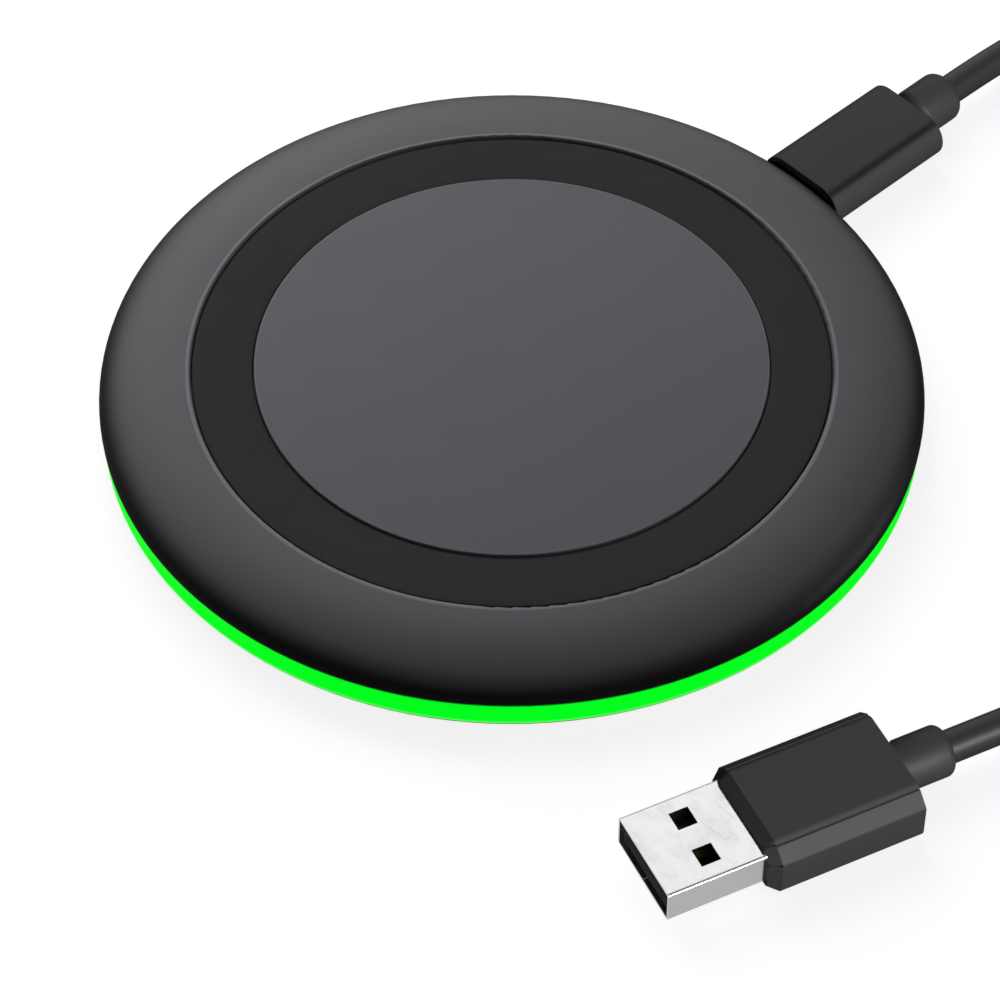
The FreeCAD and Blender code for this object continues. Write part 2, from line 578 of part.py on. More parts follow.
def path_of(route):
    """Straight runs joined by tangent arcs, each as large as its two runs allow."""
    points = [Vector(*p) for p in route]
    edges, start, radii = [], points[0], []
    for before, corner, after in zip(points, points[1:], points[2:]):
        into, out = (corner - before), (after - corner)
        shorter = min(into.Length, out.Length)
        into.normalize()
        out.normalize()
        turn = into.getAngle(out)
        reach = 0.45 * shorter
        radii.append(reach / math.tan(turn / 2))
        first, last = corner - into * reach, corner + out * reach
        inward = (out - into).normalize()
        middle = corner + inward * (radii[-1] / math.cos(turn / 2) - radii[-1])
        edges += [Part.makeLine(start, first), Part.Arc(first, middle, last).toShape()]
        start = last
    edges.append(Part.makeLine(start, points[-1]))
    return Part.Wire(edges), radii


def cable(name, route):
    """A round cable along a route; prints its arcs, and its volume against its length."""
    path, radii = path_of(route)
    tube = swept(path, CABLE_R)
    ratio = tube.Volume / (math.pi * CABLE_R ** 2 * path.Length)
    print(f"{name}: {path.Length:.1f} mm, volume ratio {ratio:.4f}, arc radii "
          + ", ".join(f"{r:.1f}" for r in radii))
    return tube


def cable_coil():
    """The outer shape of the wound length of cable."""
    wound = ring(WOUND_IN_R, WOUND_OUT_R, WOUND_LOW_Z, WOUND_TOP_Z)
    circles = [e for e in wound.Edges if isinstance(e.Curve, Part.Circle)]
    return wound.makeFillet(1.8, circles).translated(COIL_MIDDLE)


def cable_tie():
    """The strap round the wound cable."""
    middle = (WOUND_IN_R + WOUND_OUT_R) / 2
    wide, high = WOUND_OUT_R - WOUND_IN_R, WOUND_TOP_Z - WOUND_LOW_Z
    outer = block(wide + 2 * TIE_THICK, TIE_WIDE, high + 2 * TIE_THICK, (middle, 0), WOUND_LOW_Z - TIE_THICK)
    outer = outer.makeFillet(1.8, [e for e in outer.Edges if abs(e.tangentAt(0).y) > 0.9])
    strap = outer.cut(ring(WOUND_IN_R - 0.03, WOUND_OUT_R + 0.03, WOUND_LOW_Z, WOUND_TOP_Z))
    return strap.rotated(at(0, 0, 0), Z, TIE_ANGLE).translated(COIL_MIDDLE)


PIECES = [
    top_housing, centre_plate, grip_ring, base_cover, light_guide, light_reflector, foot_ring,
    case_screws, circuit_board, usb_c_socket_shell, usb_c_socket_tongue, usb_c_socket_contacts,
    led_emitters, power_controller_chip, bridge_transistors, resonant_capacitors,
    bypass_capacitors, chip_resistors, input_inductor, thermal_pad, coil_carrier, ferrite_sheet,
    charging_coil, coil_leads, coil_tape, temperature_sensor, usb_c_plug_shell,
    usb_c_plug_insert, usb_c_plug_contacts, usb_c_inner_mould, usb_c_overmould,
    usb_c_strain_relief, usb_a_plug_shell, usb_a_tongue, usb_a_contacts, usb_a_overmould,
    usb_a_strain_relief, cable_coil, cable_tie,
]


def main():
    """Writes one STEP file per piece."""
    os.makedirs("parts", exist_ok=True)
    shapes = {piece.__name__: piece() for piece in PIECES}
    shapes["cable_lead"] = cable("cable_lead", LEAD_ROUTE)
    shapes["cable_tail"] = cable("cable_tail", TAIL_ROUTE)
    for name, shape in shapes.items():
        if not shape.isValid():
            print(f"{name} isn't valid")
        print(f"{name}: {len(shape.Solids)} solids, {shape.Volume:.1f} mm3")
        shape.exportStep(f"parts/{name}.step")


main()
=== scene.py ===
"""The looks of a round wireless charging pad and its detachable USB lead.

Every length is in metres, in the frame of the design: +Z up, the pad's axis at the origin, the
port facing +Y. Most hard parts keep their designed meshes and get their finishes here. The plate,
the rubber rings, the plugs' grips and necks, the cable and its strap are modelled here, in the
places of the designed ones.
"""
import logging
import math
from dataclasses import dataclass, field
from enum import Enum
from functools import cached_property
from typing import Any, Callable, Mapping, Sequence

import bmesh
import bpy
from mathutils import Matrix, Vector


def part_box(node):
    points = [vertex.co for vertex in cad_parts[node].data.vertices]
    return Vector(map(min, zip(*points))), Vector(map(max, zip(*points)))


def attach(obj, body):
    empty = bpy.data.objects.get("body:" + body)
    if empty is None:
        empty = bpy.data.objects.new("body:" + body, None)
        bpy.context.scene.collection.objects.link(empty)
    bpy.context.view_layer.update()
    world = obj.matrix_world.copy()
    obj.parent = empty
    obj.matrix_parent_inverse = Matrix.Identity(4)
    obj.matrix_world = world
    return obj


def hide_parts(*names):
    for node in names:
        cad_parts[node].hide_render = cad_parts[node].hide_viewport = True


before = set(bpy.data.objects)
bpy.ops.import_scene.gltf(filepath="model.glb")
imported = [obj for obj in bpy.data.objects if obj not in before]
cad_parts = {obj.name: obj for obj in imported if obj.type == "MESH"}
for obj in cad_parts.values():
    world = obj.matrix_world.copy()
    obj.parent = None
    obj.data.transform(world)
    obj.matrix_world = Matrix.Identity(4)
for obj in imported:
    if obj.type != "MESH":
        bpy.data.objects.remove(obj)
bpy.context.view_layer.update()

LOG = logging.getLogger("charging_pad")
MM = 0.001
CABLE_R = 2.0 * MM
COIL_MIDDLE = Vector((62.5, 66.0, 0.0)) * MM
Colour = tuple[float, float, float]
Outline = list[Vector]
Profile = list[tuple[float, float]]


class Body(Enum):
    """The rigid bodies that a piece can ride on."""

    PAD = "pad"
    CABLE = "cable"


class Axis(Enum):
    """A direction of the frame."""

    X = (1.0, 0.0, 0.0)
    Y = (0.0, 1.0, 0.0)
    Z = (0.0, 0.0, 1.0)


# ---- shader maths ------------------------------------------------------------------------


class Value:
    """A shader socket that Python's operators work on, each adding one Math node."""

    def __init__(self, shader: "Shader", socket: Any) -> None:
        """Wraps a socket.

        Args:
            shader: The material that the socket belongs to.
            socket: The output socket of one of its nodes.
        """
        self.shader = shader
        self.socket = socket

    def math(self, operation: str, *others: "Value | float", clamp: bool = False) -> "Value":
        """Adds one Math node with this value first.

        Args:
            operation: The node's operation.
            others: Its second and third inputs.
            clamp: Whether the result is held between 0 and 1.

        Returns:
            The node's result.
        """
        inputs = dict(enumerate((self, *others)))
        return self.shader.node("ShaderNodeMath", {"operation": operation, "use_clamp": clamp}, inputs)

    def __add__(self, other: "Value | float") -> "Value":
        """Adds."""
        return self.math("ADD", other)

    __radd__ = __add__

    def __mul__(self, other: "Value | float") -> "Value":
        """Multiplies."""
        return self.math("MULTIPLY", other)

    __rmul__ = __mul__

    def __sub__(self, other: "Value | float") -> "Value":
        """Takes another value from this one."""
        return self.math("SUBTRACT", other)

    def __rsub__(self, other: float) -> "Value":
        """Takes this value from a number."""
        return self * -1.0 + other

    def __truediv__(self, other: "Value | float") -> "Value":
        """Divides by another value."""
        return self.math("DIVIDE", other)

    def __abs__(self) -> "Value":
        """The size without the sign."""
        return self.math("ABSOLUTE")

    def above(self, edge: "Value | float") -> "Value":
        """1 where this value is over an edge, else 0."""
        return self.math("GREATER_THAN", edge)

    def below(self, edge: "Value | float") -> "Value":
        """1 where this value is under an edge, else 0."""
        return self.math("LESS_THAN", edge)

    def ramp(self, low: float, high: float) -> "Value":
        """Rises smoothly from 0 at one value to 1 at another.

        Args:
            low: The value that gives 0.
            high: The value that gives 1.

        Returns:
            The eased and clamped result.
        """
        return self.shader.node("ShaderNodeMapRange", {"interpolation_type": "SMOOTHSTEP"},
                                {"Value": self, "From Min": low, "From Max": high})

    def within(self, edges: tuple[float, float], flat: float) -> "Value":
        """A soft band: 1 along its middle and 0 outside its edges.

        Args:
            edges: The values at its two edges.
            flat: The share of its width that is 1 before it fades.

        Returns:
            The band.
        """
        half = (edges[1] - edges[0]) / 2
        return 1 - abs(self - (edges[0] + half)).ramp(half * flat, half)

    def repeated(self, pitch: float) -> "Value":
        """The distance from the nearest multiple of a pitch, in the unit of this value."""
        return self.math("PINGPONG", pitch / 2)


class Shader:
    """The nodes of one material, or of the surroundings."""

    def __init__(self, owner: bpy.types.Material | bpy.types.World, kind: str = "BSDF_PRINCIPLED") -> None:
        """Starts from the one shader that the owner has from the first.

        Args:
            owner: What the nodes belong to.
            kind: The type of that shader.
        """
        owner.use_nodes = True
        self.owner = owner
        self.tree = owner.node_tree
        self.surface = next(n for n in self.tree.nodes if n.type == kind)

    @classmethod
    def named(cls, name: str) -> "Shader":
        """Starts a new material."""
        return cls(bpy.data.materials.new(name))

    @cached_property
    def object_place(self) -> Value:
        """The place on the piece, in the frame of the design."""
        return self.node("ShaderNodeTexCoord", {}, {}, "Object")

    def node(self, kind: str, settings: Mapping[str, Any], inputs: Mapping[Any, Any],
             output: str | int = 0) -> Value:
        """Adds a node.

        Args:
            kind: The node's type.
            settings: Its properties, set before its sockets.
            inputs: A number, a colour or a value for each named or numbered socket.
            output: The name or number of the wanted output.

        Returns:
            That output.
        """
        made = self.tree.nodes.new(kind)
        for key, setting in settings.items():
            setattr(made, key, setting)
        for key, entry in inputs.items():
            self.put(made.inputs[key], entry)
        return Value(self, made.outputs[output])

    def put(self, socket: Any, entry: Any) -> None:
        """Links a value to a socket, or sets a constant on it.

        Args:
            socket: An input socket.
            entry: A value, a number, a vector or a colour.
        """
        if isinstance(entry, Value):
            self.tree.links.new(entry.socket, socket)
        elif isinstance(entry, (tuple, list)) and len(socket.default_value) == 4:
            socket.default_value = (*entry, 1.0)
        else:
            socket.default_value = entry

    def placed(self, scale: Sequence[float], turn: float = 0.0) -> Value:
        """The place on the piece, scaled and then turned about Z.

        Args:
            scale: The factor along each axis.
            turn: The turn, in degrees.

        Returns:
            The mapped vector.
        """
        rotation = (0, 0, math.radians(turn))
        return self.node("ShaderNodeMapping", {"vector_type": "POINT"},
                         {"Vector": self.object_place, "Scale": scale, "Rotation": rotation})

    def parts(self, vector: Value) -> tuple[Value, Value, Value]:
        """Splits a vector into its three numbers."""
        split = self.node("ShaderNodeSeparateXYZ", {}, {"Vector": vector}).socket.node
        return tuple(Value(self, split.outputs[i]) for i in range(3))

    def noise(self, size: float, detail: float = 3.0, vector: Value | None = None,
              contrast: float = 0.5) -> Value:
        """Soft noise between 0 and 1.

        Args:
            size: The width of a blotch, in metres.
            detail: How many finer layers lie on it.
            vector: The place to read it at, if not the place on the piece.
            contrast: The weight of the finer layers.

        Returns:
            The noise.
        """
        return self.node("ShaderNodeTexNoise", {"noise_dimensions": "3D"},
                         {"Vector": vector or self.object_place, "Scale": 1.0 / size,
                          "Detail": detail, "Roughness": contrast})

    def cells(self, size: float, feature: str = "F1", vector: Value | None = None) -> Value:
        """The distance to the nearest of many scattered points.

        Args:
            size: The mean distance between the points, in metres.
            feature: Which distance is measured.
            vector: The place to read it at, if not the place on the piece.

        Returns:
            The distance, in parts of the size.
        """
        return self.node("ShaderNodeTexVoronoi", {"feature": feature},
                         {"Vector": vector or self.object_place, "Scale": 1.0 / size}, "Distance")

    def mix(self, amount: Value | float, first: Any, second: Any) -> Value:
        """Blends two colours.

        Args:
            amount: 0 for the first colour, 1 for the second.
            first: A colour.
            second: A colour.

        Returns:
            The blended colour.
        """
        return self.node("ShaderNodeMix", {"data_type": "RGBA"}, {0: amount, 6: first, 7: second}, 2)

    def bump(self, height: Value, depth: float, strength: float = 1.0, under: Value | None = None) -> Value:
        """Turns a height into a surface direction.

        Args:
            height: The height, 1 for the full depth.
            depth: The depth in metres.
            strength: How much of it shows.
            under: A direction that this one is added to.

        Returns:
            The direction, for the Normal socket.
        """
        inputs = {"Height": height, "Distance": depth, "Strength": strength}
        if under is not None:
            inputs["Normal"] = under
        return self.node("ShaderNodeBump", {}, inputs)

    def finish(self, **sockets: Any) -> bpy.types.Material | bpy.types.World:
        """Sets the shader and gives back its owner.

        Args:
            sockets: What goes on each of the shader's sockets, underscores for spaces.

        Returns:
            The finished material, or the surroundings.
        """
        for name, entry in sockets.items():
            self.put(self.surface.inputs[name.replace("_", " ")], entry)
        return self.owner


# ---- finishes ----------------------------------------------------------------------------


def scaled(colour: Colour, factor: float) -> Colour:
    """A colour made lighter or darker."""
    return tuple(min(1.0, c * factor) for c in colour)


@dataclass(frozen=True)
class Moulding:
    """A moulded plastic or rubber surface with a spark-eroded grain and faint handling marks.

    It may have a painted highlight on a rim between two radii, painted shade low down that fades out
    between two heights, and painted shade in grooves between two distances from the middle: at +X above
    groove_z, at -X below it.
    """

    name: str
    colour: Colour
    roughness: float = 0.5
    grain: float = 0.16 * MM
    depth: float = 0.008 * MM
    mottle: float = 0.02
    gloss: float = 0.3
    wear: float = 0.02
    rim: tuple[float, float] = (0.0, 0.0)
    rim_highlight_tone: float = 2.0
    shade: tuple[float, float] = (0.0, 0.0)
    shade_tone: float = 0.05
    groove: tuple[float, float] = (0.0, 0.0)
    groove_z: float = 0.0
    groove_shade_tone: float = 0.25

    def placed_tones(self, s: Shader, base: Value) -> Value:
        """Lays the painted rim highlight, the painted low shade and the painted groove shade over the plain
        colour.

        Args:
            s: The material.
            base: The plain colour.

        Returns:
            The colour with those that this finish has.
        """
        x, y, z = s.parts(s.object_place)
        # Painted highlight: a lighter band along the rim, standing in for the light that its edge catches.
        if self.rim[1]:
            radius = (x * x + y * y).math("SQRT")
            base = s.mix(radius.within(self.rim, 0.7), base, scaled(self.colour, self.rim_highlight_tone))
        # Painted shade: darker towards the bottom, fading out between the two heights.
        if self.shade[1]:
            base = s.mix((1 - z.ramp(*self.shade)) * 0.9, base, scaled(self.colour, self.shade_tone))
        # Painted shade: a dark band along each groove.
        if self.groove[1]:
            across = x * ((z - self.groove_z).above(0.0) * 2 - 1)
            base = s.mix(across.within(self.groove, 0.0), base, scaled(self.colour, self.groove_shade_tone))
        return base

    def material(self) -> bpy.types.Material:
        """Builds the finish: two grains as bump, clouded colour and sheen, a few dust specks."""
        s = Shader.named(self.name)
        fine = s.noise(self.grain, 2.0)
        coarse = s.cells(self.grain * 3.5, "SMOOTH_F1")
        clouds = s.noise(14 * MM, 3.0)
        handled = s.noise(5 * MM, 4.0, contrast=0.6)
        dust = s.cells(1.3 * MM).below(0.025) * s.noise(9 * MM, 1.0).ramp(0.5, 0.65)
        base = s.mix(clouds.ramp(0.3, 0.7), scaled(self.colour, 1 - self.mottle),
                     scaled(self.colour, 1 + self.mottle))
        base = s.mix(fine.ramp(0.25, 0.75) * 0.25, base, scaled(self.colour, 0.8))
        base = s.mix(dust * 0.35, base, scaled(self.colour, 2.2))
        base = self.placed_tones(s, base)
        rough = handled.ramp(0.3, 0.7) * self.wear + fine * 0.06 + (self.roughness - 0.04)
        normal = s.bump(fine * 0.6 + coarse * 0.4, self.depth)
        return s.finish(Base_Color=base, Roughness=rough, Normal=normal, Specular_IOR_Level=self.gloss)


@dataclass(frozen=True)
class Plating:
    """Drawn sheet metal with a plated, finely brushed surface."""

    name: str
    colour: Colour
    roughness: float = 0.22
    turn: float = 0.0
    streak: float = 0.05 * MM
    depth: float = 0.0015 * MM
    stain: float = 0.04

    def material(self) -> bpy.types.Material:
        """Builds the finish: streaks along the drawing direction, hairline scratches, faint stains."""
        s = Shader.named(self.name)
        along = s.placed((0.03, 1.0, 1.0), self.turn)
        streaks = s.noise(self.streak, 3.0, along, 0.6)
        scratches = s.noise(self.streak * 4, 1.0, along).ramp(0.66, 0.7)
        stains = s.noise(2.5 * MM, 4.0, contrast=0.6).ramp(0.35, 0.75)
        base = s.mix(stains * self.stain, self.colour, scaled(self.colour, 0.55))
        base = s.mix(streaks.ramp(0.3, 0.7) * 0.12, base, scaled(self.colour, 0.8))
        rough = streaks * 0.12 + stains * 0.1 + scratches * 0.08 + (self.roughness - 0.1)
        return s.finish(Base_Color=base, Metallic=1.0, Roughness=rough,
                        Normal=s.bump(streaks + scratches * 0.5, self.depth))


@dataclass(frozen=True)
class LitGuide:
    """A milky light guide, lit from inside: palest low down, and glowing darker along its upper edge."""

    name: str
    low: float
    high: float
    lit: Colour = (0.0, 1.0, 0.012)
    pale: Colour = (0.14, 1.0, 0.15)
    deep: Colour = (0.0, 0.1, 0.004)
    power: float = 0.98
    pools: int = 18

    def material(self) -> bpy.types.Material:
        """Builds the finish from the height in the band, with a faint unevenness between the emitters."""
        s = Shader.named(self.name)
        x, y, z = s.parts(s.object_place)
        share = (z - self.low) / (self.high - self.low)
        foot = 1 - share.ramp(0.0, 0.14)
        top = share.ramp(0.93, 0.99)
        pools = (y.math("ARCTAN2", x) * (self.pools / math.tau)).repeated(1.0) * 0.05
        milk = s.noise(0.6 * MM, 3.0)
        glow = s.mix(foot * 0.9, self.lit, self.pale)
        glow = s.mix(top * 0.85, glow, self.deep)
        glow = s.mix(pools + milk * 0.04, glow, scaled(self.lit, 0.8))
        return s.finish(Base_Color=s.mix(milk * 0.4, (0.0, 0.05, 0.005), (0.0, 0.07, 0.008)),
                        Roughness=milk * 0.1 + 0.3, Emission_Color=glow, Emission_Strength=self.power,
                        Normal=s.bump(milk, 0.01 * MM), Specular_IOR_Level=0.2)


@dataclass(frozen=True)
class SolderMask:
    """A circuit board: green mask over copper tracks, tinned pads and drilled vias."""

    name: str
    mask: Colour = (0.008, 0.09, 0.03)
    copper: Colour = (0.02, 0.17, 0.06)
    tin: Colour = (0.6, 0.6, 0.58)
    pitch: float = 1.27 * MM
    track: float = 0.22 * MM
    via: float = 0.34 * MM
    drill: float = 0.14 * MM

    def material(self) -> bpy.types.Material:
        """Builds the finish: tracks on two headings, vias with tinned rims, a slight orange peel."""
        s = Shader.named(self.name)
        x, y, _ = s.parts(s.object_place)
        zones = s.noise(9 * MM, 1.0).above(0.5)
        across, down = x.repeated(self.pitch), y.repeated(self.pitch)
        tracks = zones * across.below(self.track) + (1 - zones) * down.below(self.track)
        reach = (across * across + down * down).math("SQRT")
        sparse = s.cells(4 * MM, vector=s.placed((1, 1, 0))).below(0.22)
        rims = reach.below(self.via) * sparse
        holes = reach.below(self.drill) * sparse
        peel = s.noise(0.5 * MM, 3.0)
        base = s.mix(tracks * 0.8 + peel * 0.1, self.mask, self.copper)
        base = s.mix(rims, base, self.tin)
        # Painted shade: the drilled holes are near-black, standing in for the hole's depth.
        base = s.mix(holes, base, (0.01, 0.01, 0.01))
        return s.finish(Base_Color=base, Metallic=rims * 0.9, Roughness=peel * 0.12 + 0.26,
                        Normal=s.bump(tracks + rims + peel * 0.2, 0.03 * MM))


@dataclass(frozen=True)
class ChipBody:
    """A fired or moulded component; the bodies may repeat along X and have tinned ends."""

    name: str
    colour: Colour
    roughness: float = 0.5
    first: float = 0.0
    pitch: float = 0.0
    half: float = 0.0
    heading: Axis = Axis.X

    def material(self) -> bpy.types.Material:
        """Builds the finish: pressed powder grain, and tinned ends where a pitch is given."""
        s = Shader.named(self.name)
        grain = s.noise(0.12 * MM, 4.0, contrast=0.65)
        patches = s.noise(1.1 * MM, 2.0)
        base = s.mix(grain.ramp(0.3, 0.7) * 0.35, self.colour, scaled(self.colour, 1.5))
        base = s.mix(patches.ramp(0.4, 0.7) * 0.2, base, scaled(self.colour, 0.7))
        if not self.pitch:
            return s.finish(Base_Color=base, Roughness=grain * 0.15 + (self.roughness - 0.07),
                            Normal=s.bump(grain, 0.012 * MM))
        place = s.parts(s.object_place)[0 if self.heading is Axis.X else 1]
        ends = (place - self.first).repeated(self.pitch).above(self.half)
        base = s.mix(ends, base, (0.62, 0.61, 0.58))
        return s.finish(Base_Color=base, Metallic=ends, Roughness=grain * 0.15 + 0.3,
                        Normal=s.bump(grain + ends * 0.5, 0.012 * MM))


@dataclass(frozen=True)
class Litz:
    """Enamelled litz wire: fine strands that wind round the bundle."""

    name: str
    colour: Colour = (0.62, 0.24, 0.09)
    radius: float = 12 * MM
    strand: float = 0.16 * MM
    slant: float = 1.4

    def material(self) -> bpy.types.Material:
        """Builds the finish: slanting strands as colour and bump, with painted shade in the gaps between
        them.
        """
        s = Shader.named(self.name)
        x, y, z = s.parts(s.object_place)
        along = y.math("ARCTAN2", x) * self.radius
        strands = ((along + z * self.slant) * (math.tau / self.strand)).math("SINE") * 0.5 + 0.5
        wander = s.noise(0.8 * MM, 3.0)
        # Painted shade: the gaps between the strands are darker.
        base = s.mix(strands.ramp(0.0, 0.45), scaled(self.colour, 0.3), self.colour)
        base = s.mix(wander.ramp(0.45, 0.8) * 0.4, base, scaled(self.colour, 1.35))
        return s.finish(Base_Color=base, Metallic=0.85, Roughness=wander * 0.15 + 0.28,
                        Normal=s.bump(strands + wander * 0.3, 0.03 * MM))


@dataclass(frozen=True)
class Film:
    """A thin film or tape with small creases and bubbles."""

    name: str
    colour: Colour
    roughness: float = 0.3
    crease: float = 2.0 * MM

    def material(self) -> bpy.types.Material:
        """Builds the finish: ridged creases with painted shade along them, scattered bubbles and a slight
        change of tone.
        """
        s = Shader.named(self.name)
        folds = abs(s.noise(self.crease, 4.0) - 0.5).ramp(0.0, 0.06)
        bubbles = s.cells(1.5 * MM).below(0.12)
        # Painted shade: darker along the creases; the bubbles are darker too.
        base = s.mix((1 - folds) * 0.3 + bubbles * 0.25, self.colour, scaled(self.colour, 0.7))
        return s.finish(Base_Color=base, Roughness=folds * 0.1 + (self.roughness - 0.05),
                        Normal=s.bump(folds + bubbles * 0.6, 0.02 * MM))


@dataclass(frozen=True)
class Jacket:
    """An extruded cable jacket: satin, with the twist of the cores just showing through it."""

    name: str
    colour: Colour
    roughness: float = 0.42

    def material(self) -> bpy.types.Material:
        """Builds the finish: fine die lines and pits, long waves of the cores, worn patches."""
        s = Shader.named(self.name)
        pits = s.noise(0.1 * MM, 3.0, contrast=0.6)
        waves = s.noise(3.2 * MM, 1.0)
        rubbed = s.noise(11 * MM, 4.0, contrast=0.6).ramp(0.45, 0.7)
        base = s.mix(pits.ramp(0.3, 0.7) * 0.35, self.colour, scaled(self.colour, 0.72))
        base = s.mix(rubbed * 0.18, base, scaled(self.colour, 1.5))
        normal = s.bump(waves, 0.06 * MM, 0.5, under=s.bump(pits, 0.006 * MM))
        return s.finish(Base_Color=base, Normal=normal, Specular_IOR_Level=0.3,
                        Roughness=pits * 0.08 + rubbed * 0.06 + (self.roughness - 0.05))


@dataclass(frozen=True)
class Webbing:
    """A hook and loop strap: a tight woven back with a slight nap."""

    name: str
    colour: Colour
    turn: float
    pitch: float = 0.45 * MM

    def material(self) -> bpy.types.Material:
        """Builds the finish: crossing threads, with fuzz over them."""
        s = Shader.named(self.name)
        x, y, z = s.parts(s.placed((1, 1, 1), -self.turn))
        warp = (y * (math.tau / self.pitch)).math("SINE") * 0.5 + 0.5
        weft = ((x + z) * (math.tau / self.pitch)).math("SINE") * 0.5 + 0.5
        over = (y * (1 / self.pitch) + (x + z) * (1 / self.pitch)).math("FRACT").above(0.5)
        weave = over * warp + (1 - over) * weft
        fuzz = s.noise(0.08 * MM, 3.0, contrast=0.7)
        base = s.mix(weave, scaled(self.colour, 0.5), scaled(self.colour, 1.4))
        base = s.mix(fuzz.ramp(0.5, 0.8) * 0.4, base, scaled(self.colour, 2.2))
        return s.finish(Base_Color=base, Roughness=fuzz * 0.1 + 0.8, Sheen_Weight=0.3,
                        Normal=s.bump(weave + fuzz * 0.5, 0.08 * MM))


# ---- the modelling bench -----------------------------------------------------------------


class Bench:
    """A piece on the bench, drawn as a line and shaped in edit mode."""

    def __init__(self, name: str, points: Outline, closed: bool = False) -> None:
        """Draws a line of edges by extruding one corner of a small plane.

        Args:
            name: The piece's name.
            points: The points of the line.
            closed: Whether the line comes back to its first point.
        """
        bpy.ops.object.select_all(action="DESELECT")
        bpy.ops.mesh.primitive_plane_add(size=MM, location=points[0])
        self.piece = bpy.context.object
        self.piece.name = self.piece.data.name = name
        bpy.ops.object.transform_apply(location=True, rotation=False, scale=False)
        bpy.ops.object.mode_set(mode="EDIT")
        bpy.ops.mesh.select_mode(type="VERT")
        bpy.ops.mesh.select_all(action="SELECT")
        bpy.ops.mesh.merge(type="CENTER")
        for before, after in zip(points, points[1:] + points[:1] if closed else points[1:]):
            bpy.ops.mesh.extrude_vertices_move(TRANSFORM_OT_translate={"value": after - before})
        self.everything()
        bpy.ops.mesh.remove_doubles(threshold=1e-6)

    def everything(self) -> None:
        """Selects the whole mesh."""
        bpy.ops.mesh.select_all(action="SELECT")

    def choose(self, kind: str, test: Callable[[Any], bool]) -> None:
        """Selects only the vertices, edges or faces that pass a test.

        Args:
            kind: "verts", "edges" or "faces".
            test: Says whether an element is wanted.
        """
        bpy.ops.mesh.select_mode(type={"verts": "VERT", "edges": "EDGE", "faces": "FACE"}[kind])
        bpy.ops.mesh.select_all(action="DESELECT")
        mesh = bmesh.from_edit_mesh(self.piece.data)
        for element in getattr(mesh, kind):
            if test(element):
                element.select_set(True)
        mesh.select_flush_mode()
        bmesh.update_edit_mesh(self.piece.data)

    def spin(self, centre: Vector, axis: Vector, steps: int = 128) -> None:
        """Turns the line once round an axis and closes the seam and the poles.

        Args:
            centre: A point on the axis.
            axis: The axis's direction.
            steps: How many faces lie round it.
        """
        self.everything()
        bpy.ops.mesh.spin(steps=steps, angle=math.tau, center=centre, axis=axis, use_auto_merge=False)
        self.tidy()

    def fill(self) -> None:
        """Fills the closed line with one face."""
        self.everything()
        bpy.ops.mesh.edge_face_add()

    def extrude(self, step: Vector) -> None:
        """Extrudes what is selected, and leaves its moved end selected."""
        bpy.ops.mesh.extrude_region_move(TRANSFORM_OT_translate={"value": step})

    def round_end(self, radius: float, steps: int = 6) -> None:
        """Rounds the selected flat end by insets that follow a quarter circle.

        Args:
            radius: The radius of the rounding.
            steps: How many rings it has.
        """
        for i in range(steps):
            a, b = (math.pi / 2 * k / steps for k in (i, i + 1))
            bpy.ops.mesh.inset(thickness=radius * (math.cos(a) - math.cos(b)),
                               depth=radius * (math.sin(b) - math.sin(a)))

    def press(self, step: Vector, test: Callable[[Any], bool]) -> None:
        """Moves the vertices that pass a test.

        Args:
            step: How far they move.
            test: Says whether a vertex moves.
        """
        self.choose("verts", test)
        bpy.ops.transform.translate(value=step)

    def lay(self, place: Vector, heading: float) -> None:
        """Turns the piece about Z and moves it, leaving its object at the origin.

        Args:
            place: Where the piece's own origin goes.
            heading: The turn, in degrees.
        """
        bpy.ops.object.mode_set(mode="OBJECT")
        self.piece.location, self.piece.rotation_euler.z = place, math.radians(heading)
        bpy.ops.object.transform_apply(location=True, rotation=True, scale=True)
        bpy.ops.object.mode_set(mode="EDIT")

    def tidy(self) -> None:
        """Merges doubles and points every face outwards."""
        self.everything()
        bpy.ops.mesh.remove_doubles(threshold=1e-6)
        bpy.ops.mesh.normals_make_consistent(inside=False)

    def done(self, body: Body, slot: str, finish: bpy.types.Material, *nodes: str,
             angle: float = 40.0) -> bpy.types.Object:
        """Takes the piece off the bench, shades it and hands it to its body.

        Args:
            body: The body that it rides on.
            slot: The name of its material slot, handed on to hand_over.
            finish: Its material.
            nodes: The designed nodes that it stands for.
            angle: The sharpest edge that is shaded smooth, in degrees.

        Returns:
            The finished piece.
        """
        bpy.ops.object.mode_set(mode="OBJECT")
        bpy.ops.object.shade_smooth_by_angle(angle=math.radians(angle))
        self.piece.data.materials.append(finish)
        return hand_over(self.piece, body, slot, *nodes)


def hand_over(piece: bpy.types.Object, body: Body, slot: str, *nodes: str) -> bpy.types.Object:
    """Lets a piece ride on its body in the place of designed nodes, and logs it.

    Args:
        piece: The finished piece.
        body: The body that it rides on.
        slot: Not used.
        nodes: The designed nodes that it stands for.

    Returns:
        The same piece.
    """
    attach(piece, body.value)
    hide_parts(*nodes)
    LOG.info("%s rides on %s in the place of %s", piece.name, body.value, ", ".join(nodes))
    return piece


def arc(centre: Sequence[float], radius: float, start: float, stop: float, steps: int) -> Profile:
    """Points along an arc in a plane.

    Args:
        centre: Its middle.
        radius: Its radius.
        start: The angle of its first point, in degrees.
        stop: The angle of its last point, in degrees.
        steps: How many chords it has.

    Returns:
        The points, both ends included.
    """
    angles = [math.radians(start + (stop - start) * i / steps) for i in range(steps + 1)]
    return [(centre[0] + radius * math.cos(a), centre[1] + radius * math.sin(a)) for a in angles]


